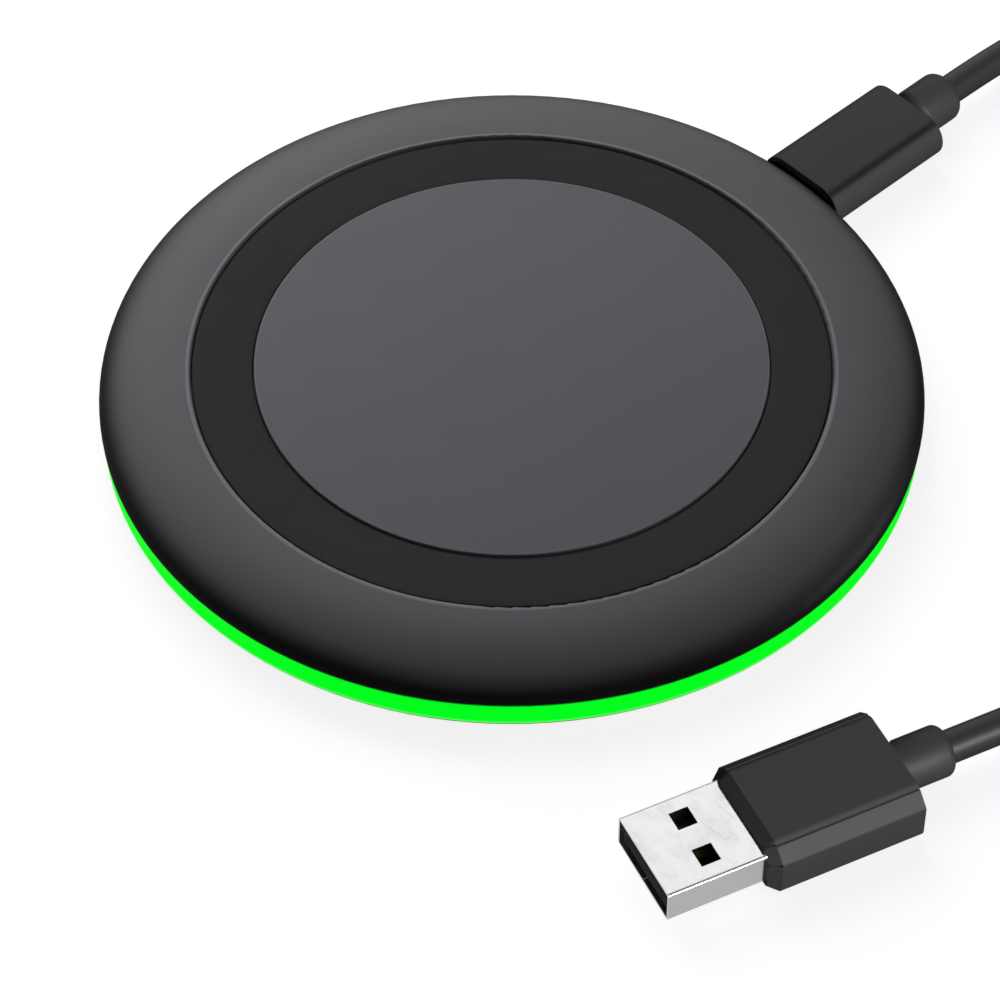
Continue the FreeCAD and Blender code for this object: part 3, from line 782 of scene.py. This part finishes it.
def rounded(corners: Sequence[tuple[float, float, float]], steps: int = 5) -> Profile:
    """A closed outline with each corner rounded.

    Args:
        corners: The corners as (across, up, radius), anticlockwise or clockwise.
        steps: How many chords a rounded corner has.

    Returns:
        The outline's points.
    """
    points = []
    for i, (px, py, radius) in enumerate(corners):
        here = Vector((px, py))
        before = (Vector(corners[i - 1][:2]) - here).normalized()
        after = (Vector(corners[(i + 1) % len(corners)][:2]) - here).normalized()
        half = before.angle(after) / 2
        if radius <= 0:
            points.append((px, py))
            continue
        middle = here + (before + after).normalized() * (radius / math.sin(half))
        first = here + before * (radius / math.tan(half)) - middle
        turn = first.angle_signed(here + after * (radius / math.tan(half)) - middle)
        for k in range(steps + 1):
            spoke = first.copy()
            spoke.rotate(Matrix.Rotation(-turn * k / steps, 2))
            points.append(tuple(middle + spoke))
    return points


# ---- the pad -----------------------------------------------------------------------------


@dataclass
class Pad:
    """The pad's plate, soft ring and foot. Its other parts keep their designed meshes."""

    plate_r: float = 31.12 * MM
    plate_round: float = 0.22 * MM
    plate_thick: float = 1.0 * MM
    rim_out: float = 30.92 * MM
    rim_in: float = 30.1 * MM
    ring_in: float = 31.24 * MM
    ring_out: float = 38.58 * MM
    ring_drop: float = 0.3 * MM
    ring_round: float = 0.18 * MM
    ring_crown: float = 0.04 * MM
    foot_in: float = 38.17 * MM
    foot_gap: float = 0.02 * MM
    foot_high: float = 1.0 * MM
    foot_round: float = 0.3 * MM
    foot_grooves: int = 3
    groove_half: float = 0.22 * MM
    groove_deep: float = 0.176 * MM
    facets: int = 192
    top: float = field(init=False)

    def __post_init__(self) -> None:
        """Reads the height of the top from the frame."""
        self.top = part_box("centre_plate")[1].z

    def turned(self, name: str, profile: Profile, closed: bool) -> Bench:
        """Turns a profile round the pad's axis.

        Args:
            name: The piece's name.
            profile: Its (radius, height) points.
            closed: Whether the profile closes on itself, as a ring's does.

        Returns:
            The turned piece, still on the bench.
        """
        bench = Bench(name, [Vector((r, 0, z)) for r, z in profile], closed)
        bench.spin(Vector(), Vector(Axis.Z.value), self.facets)
        return bench

    def plate(self, finish: bpy.types.Material) -> None:
        """The centre plate, with a rounded edge and a locating rim below."""
        low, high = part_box("centre_plate")[0].z, self.top
        step, r, e = high - self.plate_thick, self.plate_r, self.plate_round
        profile = [(0, high), *arc((r - e, high - e), e, 90, 0, 6), (r, step), (self.rim_out, step),
                   (self.rim_out, low), (self.rim_in, low), (self.rim_in, step), (0, step)]
        bench = self.turned("plate_disc", profile, False)
        bench.done(Body.PAD, "plate_plastic", finish, "centre_plate", angle=35.0)

    def grip(self, finish: bpy.types.Material) -> None:
        """The soft ring, with rounded edges and a slight crown."""
        low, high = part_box("grip_ring")[0].z, self.top - self.ring_drop
        a, b, e = self.ring_in, self.ring_out, self.ring_round
        crown = [(a + e + (b - a - 2 * e) * i / 8, high + self.ring_crown * math.sin(math.pi * i / 8))
                 for i in range(1, 8)]
        profile = [(a, low), *arc((a + e, high - e), e, 180, 90, 5), *crown,
                   *arc((b - e, high - e), e, 90, 0, 5), (b, low)]
        self.turned("grip_band", profile, True).done(Body.PAD, "grip_rubber", finish, "grip_ring")

    def foot(self, finish: bpy.types.Material) -> None:
        """The soft foot, with round edges and shallow grooves in its sole."""
        a, b, e = self.foot_in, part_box("foot_ring")[1].x - self.foot_gap, self.foot_round
        sole = []
        for i in range(self.foot_grooves):
            middle = a + (b - a) * (i + 1) / (self.foot_grooves + 1)
            sole += [(middle + self.groove_half * math.cos(t), self.groove_deep * math.sin(t))
                     for t in (math.pi * (1 - k / 6) for k in range(7))]
        profile = [(a, self.foot_high), *arc((a + e, e), e, 180, 270, 5), *sole,
                   *arc((b - e, e), e, 270, 360, 5), (b, self.foot_high)]
        self.turned("foot_band", profile, True).done(Body.PAD, "foot_rubber", finish, "foot_ring")


# ---- the lead ----------------------------------------------------------------------------


@dataclass
class Lead:
    """The cable: from the port, round into a tied coil, and out to the other plug.

    The coil's sizes and the points are in millimetres, the length is in metres.
    """

    length: float = 1.02
    coil_start: float = 60.0
    coil_out: float = 28.0
    coil_in: float = 16.0
    low_z: float = 2.6
    high_z: float = 6.65
    low_turns: float = 3.0
    climb_turns: float = 0.3
    widen: float = 4.0
    turns: float = 6.208
    per_turn: int = 24
    lead_points: tuple[tuple[float, float, float], ...] = (
        (0.0, 77.0, 3.48), (0.0, 84.0, 3.48), (0.4, 93.0, 3.2), (5.3, 103.4, 2.2), (17.4, 111.3, 2.0),
        (32.9, 111.8, 2.0), (48.6, 106.7, 2.1), (63.2, 99.0, 2.4))
    tail_points: tuple[tuple[float, float, float], ...] = (
        (86.5, 44.2, 4.9), (82.3, 29.2, 2.3), (78.05, 12.4, 3.7), (73.67, -1.97, 3.7))

    def wound(self) -> list[tuple[float, float, float]]:
        """The coil's turns: inwards along the floor, then outwards on top of them."""
        points, middle = [], COIL_MIDDLE / MM
        count = round(self.turns * self.per_turn)
        for i in range(count + 1):
            u = self.turns * i / count
            inward = self.coil_out - (self.coil_out - self.coil_in) * u / self.low_turns
            r = inward if u < self.low_turns else self.coil_in + self.widen * (u - self.low_turns)
            climb = min(1.0, max(0.0, (u - self.low_turns) / self.climb_turns + 0.5))
            z = self.low_z + (self.high_z - self.low_z) * climb * climb * (3 - 2 * climb)
            a = math.radians(self.coil_start - 360 * u)
            points.append((middle.x + r * math.cos(a), middle.y + r * math.sin(a), z))
        return points

    def cord(self, finish: bpy.types.Material, pieces: Sequence[bpy.types.Object | str]) -> bpy.types.Object:
        """Lays the cable as one smooth curve.

        Args:
            finish: The jacket's material.
            pieces: Not used.

        Returns:
            The curve.
        """
        route = [*self.lead_points, *self.wound(), *self.tail_points]
        curve = bpy.data.curves.new("lead_cord", "CURVE")
        curve.dimensions = "3D"
        curve.resolution_u = 8
        curve.bevel_depth = CABLE_R
        curve.bevel_resolution = 7
        curve.use_fill_caps = True
        line = curve.splines.new("NURBS")
        line.points.add(len(route) - 1)
        for point, place in zip(line.points, route):
            point.co = (*(c * MM for c in place), 1.0)
        line.order_u = 3
        line.use_endpoint_u = True
        line.use_smooth = True
        curve.materials.append(finish)
        piece = bpy.data.objects.new("lead_cord", curve)
        bpy.context.scene.collection.objects.link(piece)
        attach(piece, Body.CABLE.value)
        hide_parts("cable_lead", "cable_coil", "cable_tail")
        LOG.info("lead_cord has %d points", len(route))
        return piece


@dataclass
class Strap:
    """The hook and loop strap round the coil, its tail laid over its own start.

    The tail's lift is in thicknesses of the strap, and its runs are in overlaps.
    """

    angle: float = 200.0
    inner: float = 15.3 * MM
    outer: float = 28.8 * MM
    low: float = 0.55 * MM
    high: float = 8.7 * MM
    thick: float = 0.55 * MM
    wide: float = 7.0 * MM
    bend: float = 2.2 * MM
    overlap: float = 5.0 * MM
    lift: float = 1.05
    tail_runs: tuple[float, ...] = (0.35, 1.0, 2.2)
    edge_round: float = 0.12 * MM

    def loop(self, gap: float) -> Profile:
        """The strap's line seen along its width, held off the coil by a gap.

        Args:
            gap: The distance from the coil's outline.

        Returns:
            The (radius, height) points, from above the coil round to above it again.
        """
        a, b, low, high = self.inner - gap, self.outer + gap, self.low - gap, self.high + gap
        r, top = self.bend + gap, (self.inner + self.outer) / 2
        return [(top, high), *arc((a + r, high - r), r, 90, 180, 6), *arc((a + r, low + r), r, 180, 270, 6),
                *arc((b - r, low + r), r, 270, 360, 6), *arc((b - r, high - r), r, 0, 90, 6),
                (top + self.overlap, high)]

    def build(self, finish: bpy.types.Material) -> bpy.types.Object:
        """Draws the strap's edge as a closed ribbon and gives it its width."""
        near, far = self.loop(0.0), self.loop(self.thick)
        end, level = near[-1]
        lift = self.lift * self.thick
        tail = [(end - self.overlap * run, level + lift * min(1.0, run)) for run in self.tail_runs]
        back = [(r, z + self.thick) for r, z in tail[::-1]]
        turn = Matrix.Rotation(math.radians(self.angle), 4, "Z")
        half = Vector((0, self.wide / 2, 0))
        outline = [COIL_MIDDLE + turn @ (Vector((r, 0, z)) - half) for r, z in near + tail + back + far[::-1]]
        bench = Bench("coil_strap", outline, True)
        bench.fill()
        bench.extrude(turn @ (half * 2))
        bench.tidy()
        bench.choose("edges", lambda e: any(len(f.verts) > 4 for f in e.link_faces))
        bpy.ops.mesh.bevel(offset=self.edge_round, segments=2, affect="EDGES")
        bench.tidy()
        return bench.done(Body.CABLE, "tie_strap", finish, "cable_tie")


# ---- the plugs ---------------------------------------------------------------------------


def cable_mouth(end: float, radius: float, turn_in: float, gap: float = 0.05 * MM,
                bite: float = 0.3 * MM, deep: float = 0.5 * MM) -> Profile:
    """The rear of a neck: rounded, then dished round the cable, down to the axis.

    Args:
        end: How far along the plug the neck ends.
        radius: The neck's radius.
        turn_in: The radius of its rounding.
        gap: How far the mouth stands off the cable.
        bite: How far the dish's floor reaches into the cable.
        deep: How deep the dish is.

    Returns:
        The (along, out) points.
    """
    return [*arc((end - turn_in, radius - turn_in), turn_in, 90, 0, 8), (end, CABLE_R + gap),
            (end - deep, CABLE_R - bite), (end - deep, 0.0)]


@dataclass
class Crease:
    """A rounded groove pressed into a grip, with a gentle inner slope and a steeper outer one."""

    at: float
    half: float
    deep: float
    lowest: float = 0.4
    shares: tuple[float, ...] = (-1.0, -0.7, -0.3, 0.1, 0.4, 0.6, 0.8, 1.0)

    def lines(self) -> Profile:
        """The groove's lines.

        Returns:
            For each line its place across the grip, and its depth.
        """
        lines = []
        for share in self.shares:
            run = self.lowest + 1 if share < self.lowest else 1 - self.lowest
            deep = self.deep * (math.cos(math.pi * (share - self.lowest) / run) + 1) / 2
            lines.append((self.at + self.half * share, deep))
        return lines

    def press(self, bench: Bench, reach: Callable[[Any], bool], up: float) -> None:
        """Presses the groove into the vertices that lie on its lines.

        Args:
            bench: The piece.
            reach: Says whether a vertex is on the grooved side and stretch.
            up: 1 for the upper side, -1 for the lower one.
        """
        near = 0.05 * MM
        for across, deep in self.lines():
            bench.press(Vector((0, 0, -up * deep)), lambda v: reach(v) and abs(abs(v.co.x) - across) < near)


@dataclass
class SmallPlug:
    """The grip and neck of the plug that sits in the port."""

    wide: float = 12.7 * MM
    high: float = 6.3 * MM
    crease: Crease = field(default_factory=lambda: Crease(4.4 * MM, 0.8 * MM, 0.2 * MM))
    rear_round: float = 1.7 * MM
    pocket_wall: float = 0.94 * MM
    pocket_deep: float = 12.7 * MM
    neck_r: float = 3.355 * MM
    neck_round: float = 1.2 * MM
    neck_sunk: float = 0.2 * MM

    def section(self, front: float, middle_z: float) -> Outline:
        """The grip's plain section: flat above and below, round at the sides, with the groove's lines."""
        h, side = self.high / 2, (self.wide - self.high) / 2
        lines = [across for across, _ in self.crease.lines()]
        top = [(x, h if x < side else math.sqrt(h * h - (x - side) ** 2)) for x in lines]
        start = math.degrees(math.acos((lines[-1] - side) / h))
        quarter = top + arc((side, 0), h, start, 0, 12)[1:]
        upper = quarter[::-1] + [(-x, z) for x, z in quarter]
        lower = [(-x, -z) for x, z in upper[1:-1]]
        return [Vector((x, front, middle_z + z)) for x, z in upper + lower]

    def grip(self, finish: bpy.types.Material) -> bpy.types.Object:
        """The grip: a rounded bar with a pocket for the inner mould, and the same groove if turned over."""
        low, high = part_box("usb_c_overmould")
        middle_z = (low.z + high.z) / 2
        bench = Bench("port_plug_grip", self.section(low.y, middle_z), True)
        bench.fill()
        bench.extrude(Vector((0, high.y - low.y - self.rear_round, 0)))
        bench.round_end(self.rear_round, 8)
        bench.tidy()
        bench.choose("faces", lambda f: f.normal.y < -0.99 and len(f.verts) > 8)
        bpy.ops.mesh.inset(thickness=self.pocket_wall, depth=0.0)
        bench.extrude(Vector((0, self.pocket_deep, 0)))
        for up in (1, -1):
            self.crease.press(bench, lambda v: (v.co.z - middle_z) * up > self.high * 0.3 and v.co.x * up > 0
                              and v.co.y < high.y - self.rear_round * 0.4, up)
        bench.tidy()
        return bench.done(Body.CABLE, "overmould_black", finish, "usb_c_overmould", angle=50.0)

    def neck(self, finish: bpy.types.Material) -> bpy.types.Object:
        """The neck: a full round body with a shoulder sunk in the grip and a mouth for the cable."""
        low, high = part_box("usb_c_strain_relief")
        axis_z, turn_in, start = (low.z + high.z) / 2, self.neck_round, low.y - self.neck_sunk
        profile = [(start - turn_in, 0), *arc((start, self.neck_r - turn_in), turn_in, 180, 90, 6),
                   *cable_mouth(high.y, self.neck_r, turn_in)]
        bench = Bench("port_plug_neck", [Vector((0, y, axis_z + up)) for y, up in profile])
        bench.spin(Vector((0, 0, axis_z)), Vector(Axis.Y.value), 64)
        return bench.done(Body.CABLE, "overmould_black", finish, "usb_c_strain_relief", angle=45.0)

    def build(self, groove_shaded: bpy.types.Material, finish: bpy.types.Material) -> list[bpy.types.Object]:
        """The grip, in the finish with painted shade along its groove, and the neck."""
        return [self.grip(groove_shaded), self.neck(finish)]


@dataclass
class LargePlug:
    """The grip and neck of the plug that lies beside the pad, made along Y and then laid down."""

    tip: Vector = Vector((62.5, -38.5, 3.7)) * MM
    heading: float = -17.0
    shell_out: float = 12.0 * MM
    long: float = 19.8 * MM
    wide: float = 15.2 * MM
    high: float = 7.4 * MM
    flat: float = 5.6 * MM
    bevel: float = 1.9 * MM
    nose: float = 1.3 * MM
    rear_round: float = 0.5 * MM
    neck_long: float = 6.4 * MM
    neck_r: float = 3.1 * MM
    neck_round: float = 1.0 * MM
    waist_r: float = 2.85 * MM
    waist_half: float = 0.3 * MM
    waist_end: float = 0.8 * MM
    crease: Crease = field(default_factory=lambda: Crease(5.5 * MM, 0.5 * MM, 0.3 * MM))

    def section(self, front: float) -> Outline:
        """The grip's plain section: a flat top, a broad bevel at each side, rounded below."""
        half, rise = self.wide / 2, self.high / 2
        slope = self.bevel / (half - self.flat)
        top = [(x, rise - max(0.0, x - self.flat) * slope) for x, _ in self.crease.lines()]
        side = rounded([(self.flat, rise, 0.0), (half, rise - self.bevel, 0.5 * MM), (half, -rise, 1.4 * MM),
                        (0.0, -rise, 0.0)])[1:-1]
        right = top + side
        left = [(-x, z) for x, z in right[::-1]]
        return [Vector((x, front, z)) for x, z in right + left]

    def grip(self, finish: bpy.types.Material) -> bpy.types.Object:
        """The grip: a bevelled nose, a groove along each upper edge and a rounded rear."""
        front, rear = self.shell_out + self.nose, self.shell_out + self.long
        bench = Bench("lead_plug_grip", self.section(front), True)
        bench.fill()
        bench.extrude(Vector((0, rear - self.rear_round - front, 0)))
        bench.round_end(self.rear_round, 4)
        bench.tidy()
        bench.choose("faces", lambda f: f.normal.y < -0.99 and len(f.verts) > 8)
        bpy.ops.mesh.inset(thickness=self.nose * 0.85, depth=self.nose)
        self.crease.press(bench, lambda v: v.co.z > self.high * 0.3 and v.co.y > front - 0.1 * MM, 1)
        bench.tidy()
        bench.lay(self.tip, self.heading)
        return bench.done(Body.CABLE, "overmould_black", finish, "usb_a_overmould", angle=32.0)

    def neck(self, finish: bpy.types.Material) -> bpy.types.Object:
        """The neck: a narrow waist inside the grip's end, then a round body and its mouth."""
        start, waist = self.shell_out + self.long, self.waist_half
        profile = [(start - waist, 0.0), (start - waist, self.waist_r), (start + waist, self.waist_r),
                   (start + self.waist_end, self.neck_r),
                   *cable_mouth(start + self.neck_long, self.neck_r, self.neck_round)]
        bench = Bench("lead_plug_neck", [Vector((0, along, up)) for along, up in profile])
        bench.spin(Vector(), Vector(Axis.Y.value), 64)
        bench.lay(self.tip, self.heading)
        return bench.done(Body.CABLE, "overmould_black", finish, "usb_a_strain_relief", angle=45.0)

    def build(self, finish: bpy.types.Material) -> list[bpy.types.Object]:
        """The grip and the neck."""
        return [self.grip(finish), self.neck(finish)]


# ---- the studio --------------------------------------------------------------------------


METAL = ("usb_a_plug_shell", "usb_c_plug_shell")
CABLE = (*METAL, "usb_a_tongue", "lead_cord", "port_plug_grip", "port_plug_neck", "lead_plug_grip",
         "lead_plug_neck")


class Reach(Enum):
    """What a light lights."""

    PAD = "all but the cable and its plugs"
    CABLE = "only the cable and its plugs"
    METAL = "only the plugs' shells"


def light_only(lamp: bpy.types.Object, names: Sequence[str], state: str = "INCLUDE") -> None:
    """Lets a lamp or a glowing surface light only some pieces, or all but those.

    Args:
        lamp: What gives the light.
        names: The pieces that are named.
        state: "INCLUDE" if it lights only them, "EXCLUDE" if it lights all but them.
    """
    named = bpy.data.collections.new(lamp.name)
    for name in names:
        named.objects.link(bpy.data.objects[name])
    for entry in named.collection_objects:
        entry.light_linking.link_state = state
    lamp.light_linking.receiver_collection = named


@dataclass
class Softbox:
    """One soft rectangular light."""

    name: str
    azimuth: float
    elevation: float
    watts: float
    wide: float = 1.6
    high: float = 0.9
    reach: Reach = Reach.PAD
    distance: float = 2.0

    def build(self) -> None:
        """Hangs the light, facing the object's middle."""
        a, e = math.radians(self.azimuth), math.radians(self.elevation)
        away = Vector((math.cos(a) * math.cos(e), math.sin(a) * math.cos(e), math.sin(e)))
        light = bpy.data.lights.new(self.name, "AREA")
        light.shape, light.size, light.size_y, light.energy = "RECTANGLE", self.wide, self.high, self.watts
        lamp = bpy.data.objects.new(self.name, light)
        lamp.location = away * self.distance
        lamp.rotation_euler = away.to_track_quat("Z", "Y").to_euler()
        bpy.context.scene.collection.objects.link(lamp)
        if self.reach is Reach.PAD:
            light_only(lamp, CABLE, "EXCLUDE")
        else:
            light_only(lamp, CABLE if self.reach is Reach.CABLE else METAL)


@dataclass
class Studio:
    """The camera, the pale floor and the soft lights."""

    azimuth: float = 47.03
    elevation: float = 47.3624
    distance: float = 0.49531
    tilt: float = -1.38127
    swing: float = 0.16586
    look_z: float = 1.2 * MM
    lens: float = 146.1
    floor_grey: float = 0.35
    floor_glow: float = 0.85
    world: float = 0.012

    def camera(self) -> None:
        """Sets up the camera."""
        a, e = math.radians(self.azimuth), math.radians(self.elevation)
        back = Vector((math.sin(a) * math.cos(e), -math.cos(a) * math.cos(e), math.sin(e)))
        right = Vector((math.cos(a), math.sin(a), 0))
        turn = Matrix((right, back.cross(right), back)).transposed()
        turn = turn @ Matrix.Rotation(math.radians(self.tilt), 3, "X")
        turn = turn @ Matrix.Rotation(math.radians(self.swing), 3, "Y")
        camera = bpy.data.objects.new("camera", bpy.data.cameras.new("camera"))
        camera.data.lens, camera.data.sensor_width, camera.data.clip_start = self.lens, 36.0, 0.01
        place = back * self.distance + Vector((0, 0, self.look_z))
        camera.matrix_world = Matrix.Translation(place) @ turn.to_4x4()
        bpy.context.scene.collection.objects.link(camera)
        bpy.context.scene.camera = camera

    def floor(self) -> None:
        """Lays the plain pale floor, whose glow lights only the plugs' shells."""
        bpy.ops.object.select_all(action="DESELECT")
        bpy.ops.mesh.primitive_circle_add(vertices=128, radius=6.0, fill_type="NGON", location=(0, 0, 0))
        floor = bpy.context.object
        floor.name = "studio_floor"
        s = Shader.named("floor_paint")
        grey = s.mix(s.noise(0.4, 2.0), (self.floor_grey,) * 3, (self.floor_grey * 0.99,) * 3)
        floor.data.materials.append(s.finish(Base_Color=grey, Roughness=0.9, Specular_IOR_Level=0.0,
                                             Emission_Color=(1, 1, 1), Emission_Strength=self.floor_glow))
        floor.visible_diffuse = floor.visible_shadow = False
        light_only(floor, METAL)

    def lights(self) -> None:
        """Hangs the lights and sets the surroundings, white to the camera and dark to the object."""
        for box in (Softbox("key", 165.0, 32.0, 16.0),
                    Softbox("high_key", 165.0, 50.0, 4.4),
                    Softbox("back", 137.0, 50.0, 7.1),
                    Softbox("low_back", 137.0, 15.0, 5.5),
                    Softbox("side", 47.0, 12.0, 7.3, 0.8, 0.5),
                    Softbox("front_fill", -43.0, 55.0, 3.0),
                    Softbox("metal_sky", 0.0, 90.0, 30.0, 4.4, 4.4, Reach.METAL),
                    Softbox("cable_low_back", 137.0, 15.0, 8.0, reach=Reach.CABLE),
                    Softbox("cable_back", 137.0, 50.0, 7.1, reach=Reach.CABLE),
                    Softbox("cable_fill", -12.0, 28.0, 70.0, 1.2, 0.5, Reach.CABLE)):
            box.build()
            LOG.info("%s lights %s", box.name, box.reach.value)
        sky = Shader(bpy.data.worlds.new("studio"), "BACKGROUND")
        seen = sky.node("ShaderNodeLightPath", {}, {}, "Is Camera Ray")
        bpy.context.scene.world = sky.finish(Color=(1, 1, 1), Strength=seen * (1 - self.world) + self.world)
        bpy.context.scene.view_settings.view_transform = "Standard"


# ---- putting it together -----------------------------------------------------------------


def finishes() -> dict[str, bpy.types.Material]:
    """One material for each slot of the record, and the grooved grip's own, with painted shade along its
    groove.

    Returns:
        The materials by name.
    """
    low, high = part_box("light_guide")
    grain = 0.12 * MM
    made = (
        # The casing: a painted highlight along its lip, and painted shade towards its lower edge.
        Moulding("casing_plastic", (0.096, 0.095, 0.106), 0.5, 0.14 * MM, 0.005 * MM,
                 rim=(38.85 * MM, 39.4 * MM), shade=(5.9 * MM, 7.7 * MM)),
        # The plate: a painted highlight along its rim.
        Moulding("plate_plastic", (0.119, 0.118, 0.138), 0.55, 0.11 * MM, 0.004 * MM, 0.015,
                 rim=(30.85 * MM, 31.1 * MM), rim_highlight_tone=1.35),
        Moulding("grip_rubber", (0.0305, 0.0305, 0.0305), 0.7, 0.1 * MM, 0.008 * MM, 0.03, 0.15),
        Moulding("foot_rubber", (0.02, 0.02, 0.02), 0.75, 0.1 * MM, 0.01 * MM, 0.1, 0.3),
        Moulding("base_plastic", (0.018, 0.018, 0.018), 0.5, 0.25 * MM, 0.015 * MM),
        LitGuide("light_guide_green", low.z, high.z),
        Film("reflector_film", (0.85, 0.85, 0.83)),
        Plating("screw_steel", (0.2, 0.2, 0.21), 0.35),
        SolderMask("board_green"),
        Plating("socket_steel", (0.66, 0.66, 0.67), 0.25, 90.0),
        Moulding("connector_black", (0.015, 0.015, 0.015), 0.45, 0.08 * MM),
        Plating("contact_gold", (0.85, 0.62, 0.25), 0.2, 90.0, 0.03 * MM),
        ChipBody("emitter_white", (0.75, 0.74, 0.62), 0.35),
        ChipBody("chip_epoxy", (0.02, 0.02, 0.021), 0.5),
        ChipBody("capacitor_ceramic", (0.3, 0.2, 0.12), 0.45, 8.0 * MM, 4.2 * MM, 1.15 * MM),
        ChipBody("resistor_ceramic", (0.02, 0.02, 0.022), 0.35, 38.6 * MM, 9.0 * MM, 0.55 * MM, Axis.Y),
        ChipBody("inductor_ferrite", (0.06, 0.06, 0.065), 0.6),
        Film("thermal_silicone", (0.3, 0.36, 0.45), 0.6),
        Moulding("carrier_plastic", (0.62, 0.61, 0.57), 0.4, 0.3 * MM),
        ChipBody("ferrite_grey", (0.035, 0.035, 0.038), 0.65),
        Litz("litz_copper"),
        Film("tape_clear", (0.55, 0.33, 0.06), 0.2),
        Moulding("sensor_bead", (0.012, 0.012, 0.014), 0.15, 0.4 * MM),
        Plating("plug_steel", (0.43, 0.43, 0.435), 0.2, 107.0),
        Moulding("insert_black", (0.012, 0.012, 0.012), 0.4, 0.08 * MM),
        # The inner mould's nose: black of its own, made near-black as painted shade for the narrow gap
        # between the grip and the pad.
        Moulding("nose_black", (0.003, 0.003, 0.003), 0.8, 0.08 * MM, gloss=0.05),
        Moulding("overmould_black", (0.03, 0.03, 0.03), 0.55, grain, 0.005 * MM, gloss=0.2),
        # The port plug's grip: painted shade along its grooves.
        Moulding("port_grip", (0.028, 0.028, 0.028), 0.55, grain, 0.005 * MM, gloss=0.2,
                 groove=(3.8 * MM, 5.4 * MM), groove_z=3.48 * MM),
        Jacket("cable_jacket", (0.02, 0.02, 0.02), 0.45),
        Webbing("tie_strap", (0.02, 0.02, 0.02), 200.0),
    )
    return {finish.name: finish.material() for finish in made}


def dress(materials: Mapping[str, bpy.types.Material]) -> None:
    """Gives every designed node its finish.

    Args:
        materials: The materials by name.
    """
    for name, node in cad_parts.items():
        for entry in node.material_slots:
            slot = entry.material.name.split(".")[0]
            entry.material = materials[slot]
            LOG.info("%s is finished in %s", name, slot)


def main() -> None:
    """Builds the studio and the object, in order."""
    studio = Studio()
    studio.camera()
    materials = finishes()
    dress(materials)
    rubber, jacket = materials["overmould_black"], materials["cable_jacket"]
    ends = SmallPlug().build(materials["port_grip"], rubber) + LargePlug().build(rubber)
    strap = Strap().build(materials["tie_strap"])
    carried = ["usb_c_plug_shell", "usb_c_plug_insert", "usb_c_plug_contacts", "usb_c_inner_mould",
               "usb_a_plug_shell", "usb_a_tongue", "usb_a_contacts"]
    Lead().cord(jacket, ends + [strap] + carried)
    pad = Pad()
    pad.plate(materials["plate_plastic"])
    pad.grip(materials["grip_rubber"])
    pad.foot(materials["foot_rubber"])
    # The band's glow is seen, but colours neither the casing nor the plugs.
    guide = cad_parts["light_guide"]
    guide.visible_diffuse = guide.visible_glossy = False
    studio.floor()
    studio.lights()


if __name__ == "__main__":
    logging.basicConfig(level=logging.INFO, format="%(name)s: %(message)s")
    main()
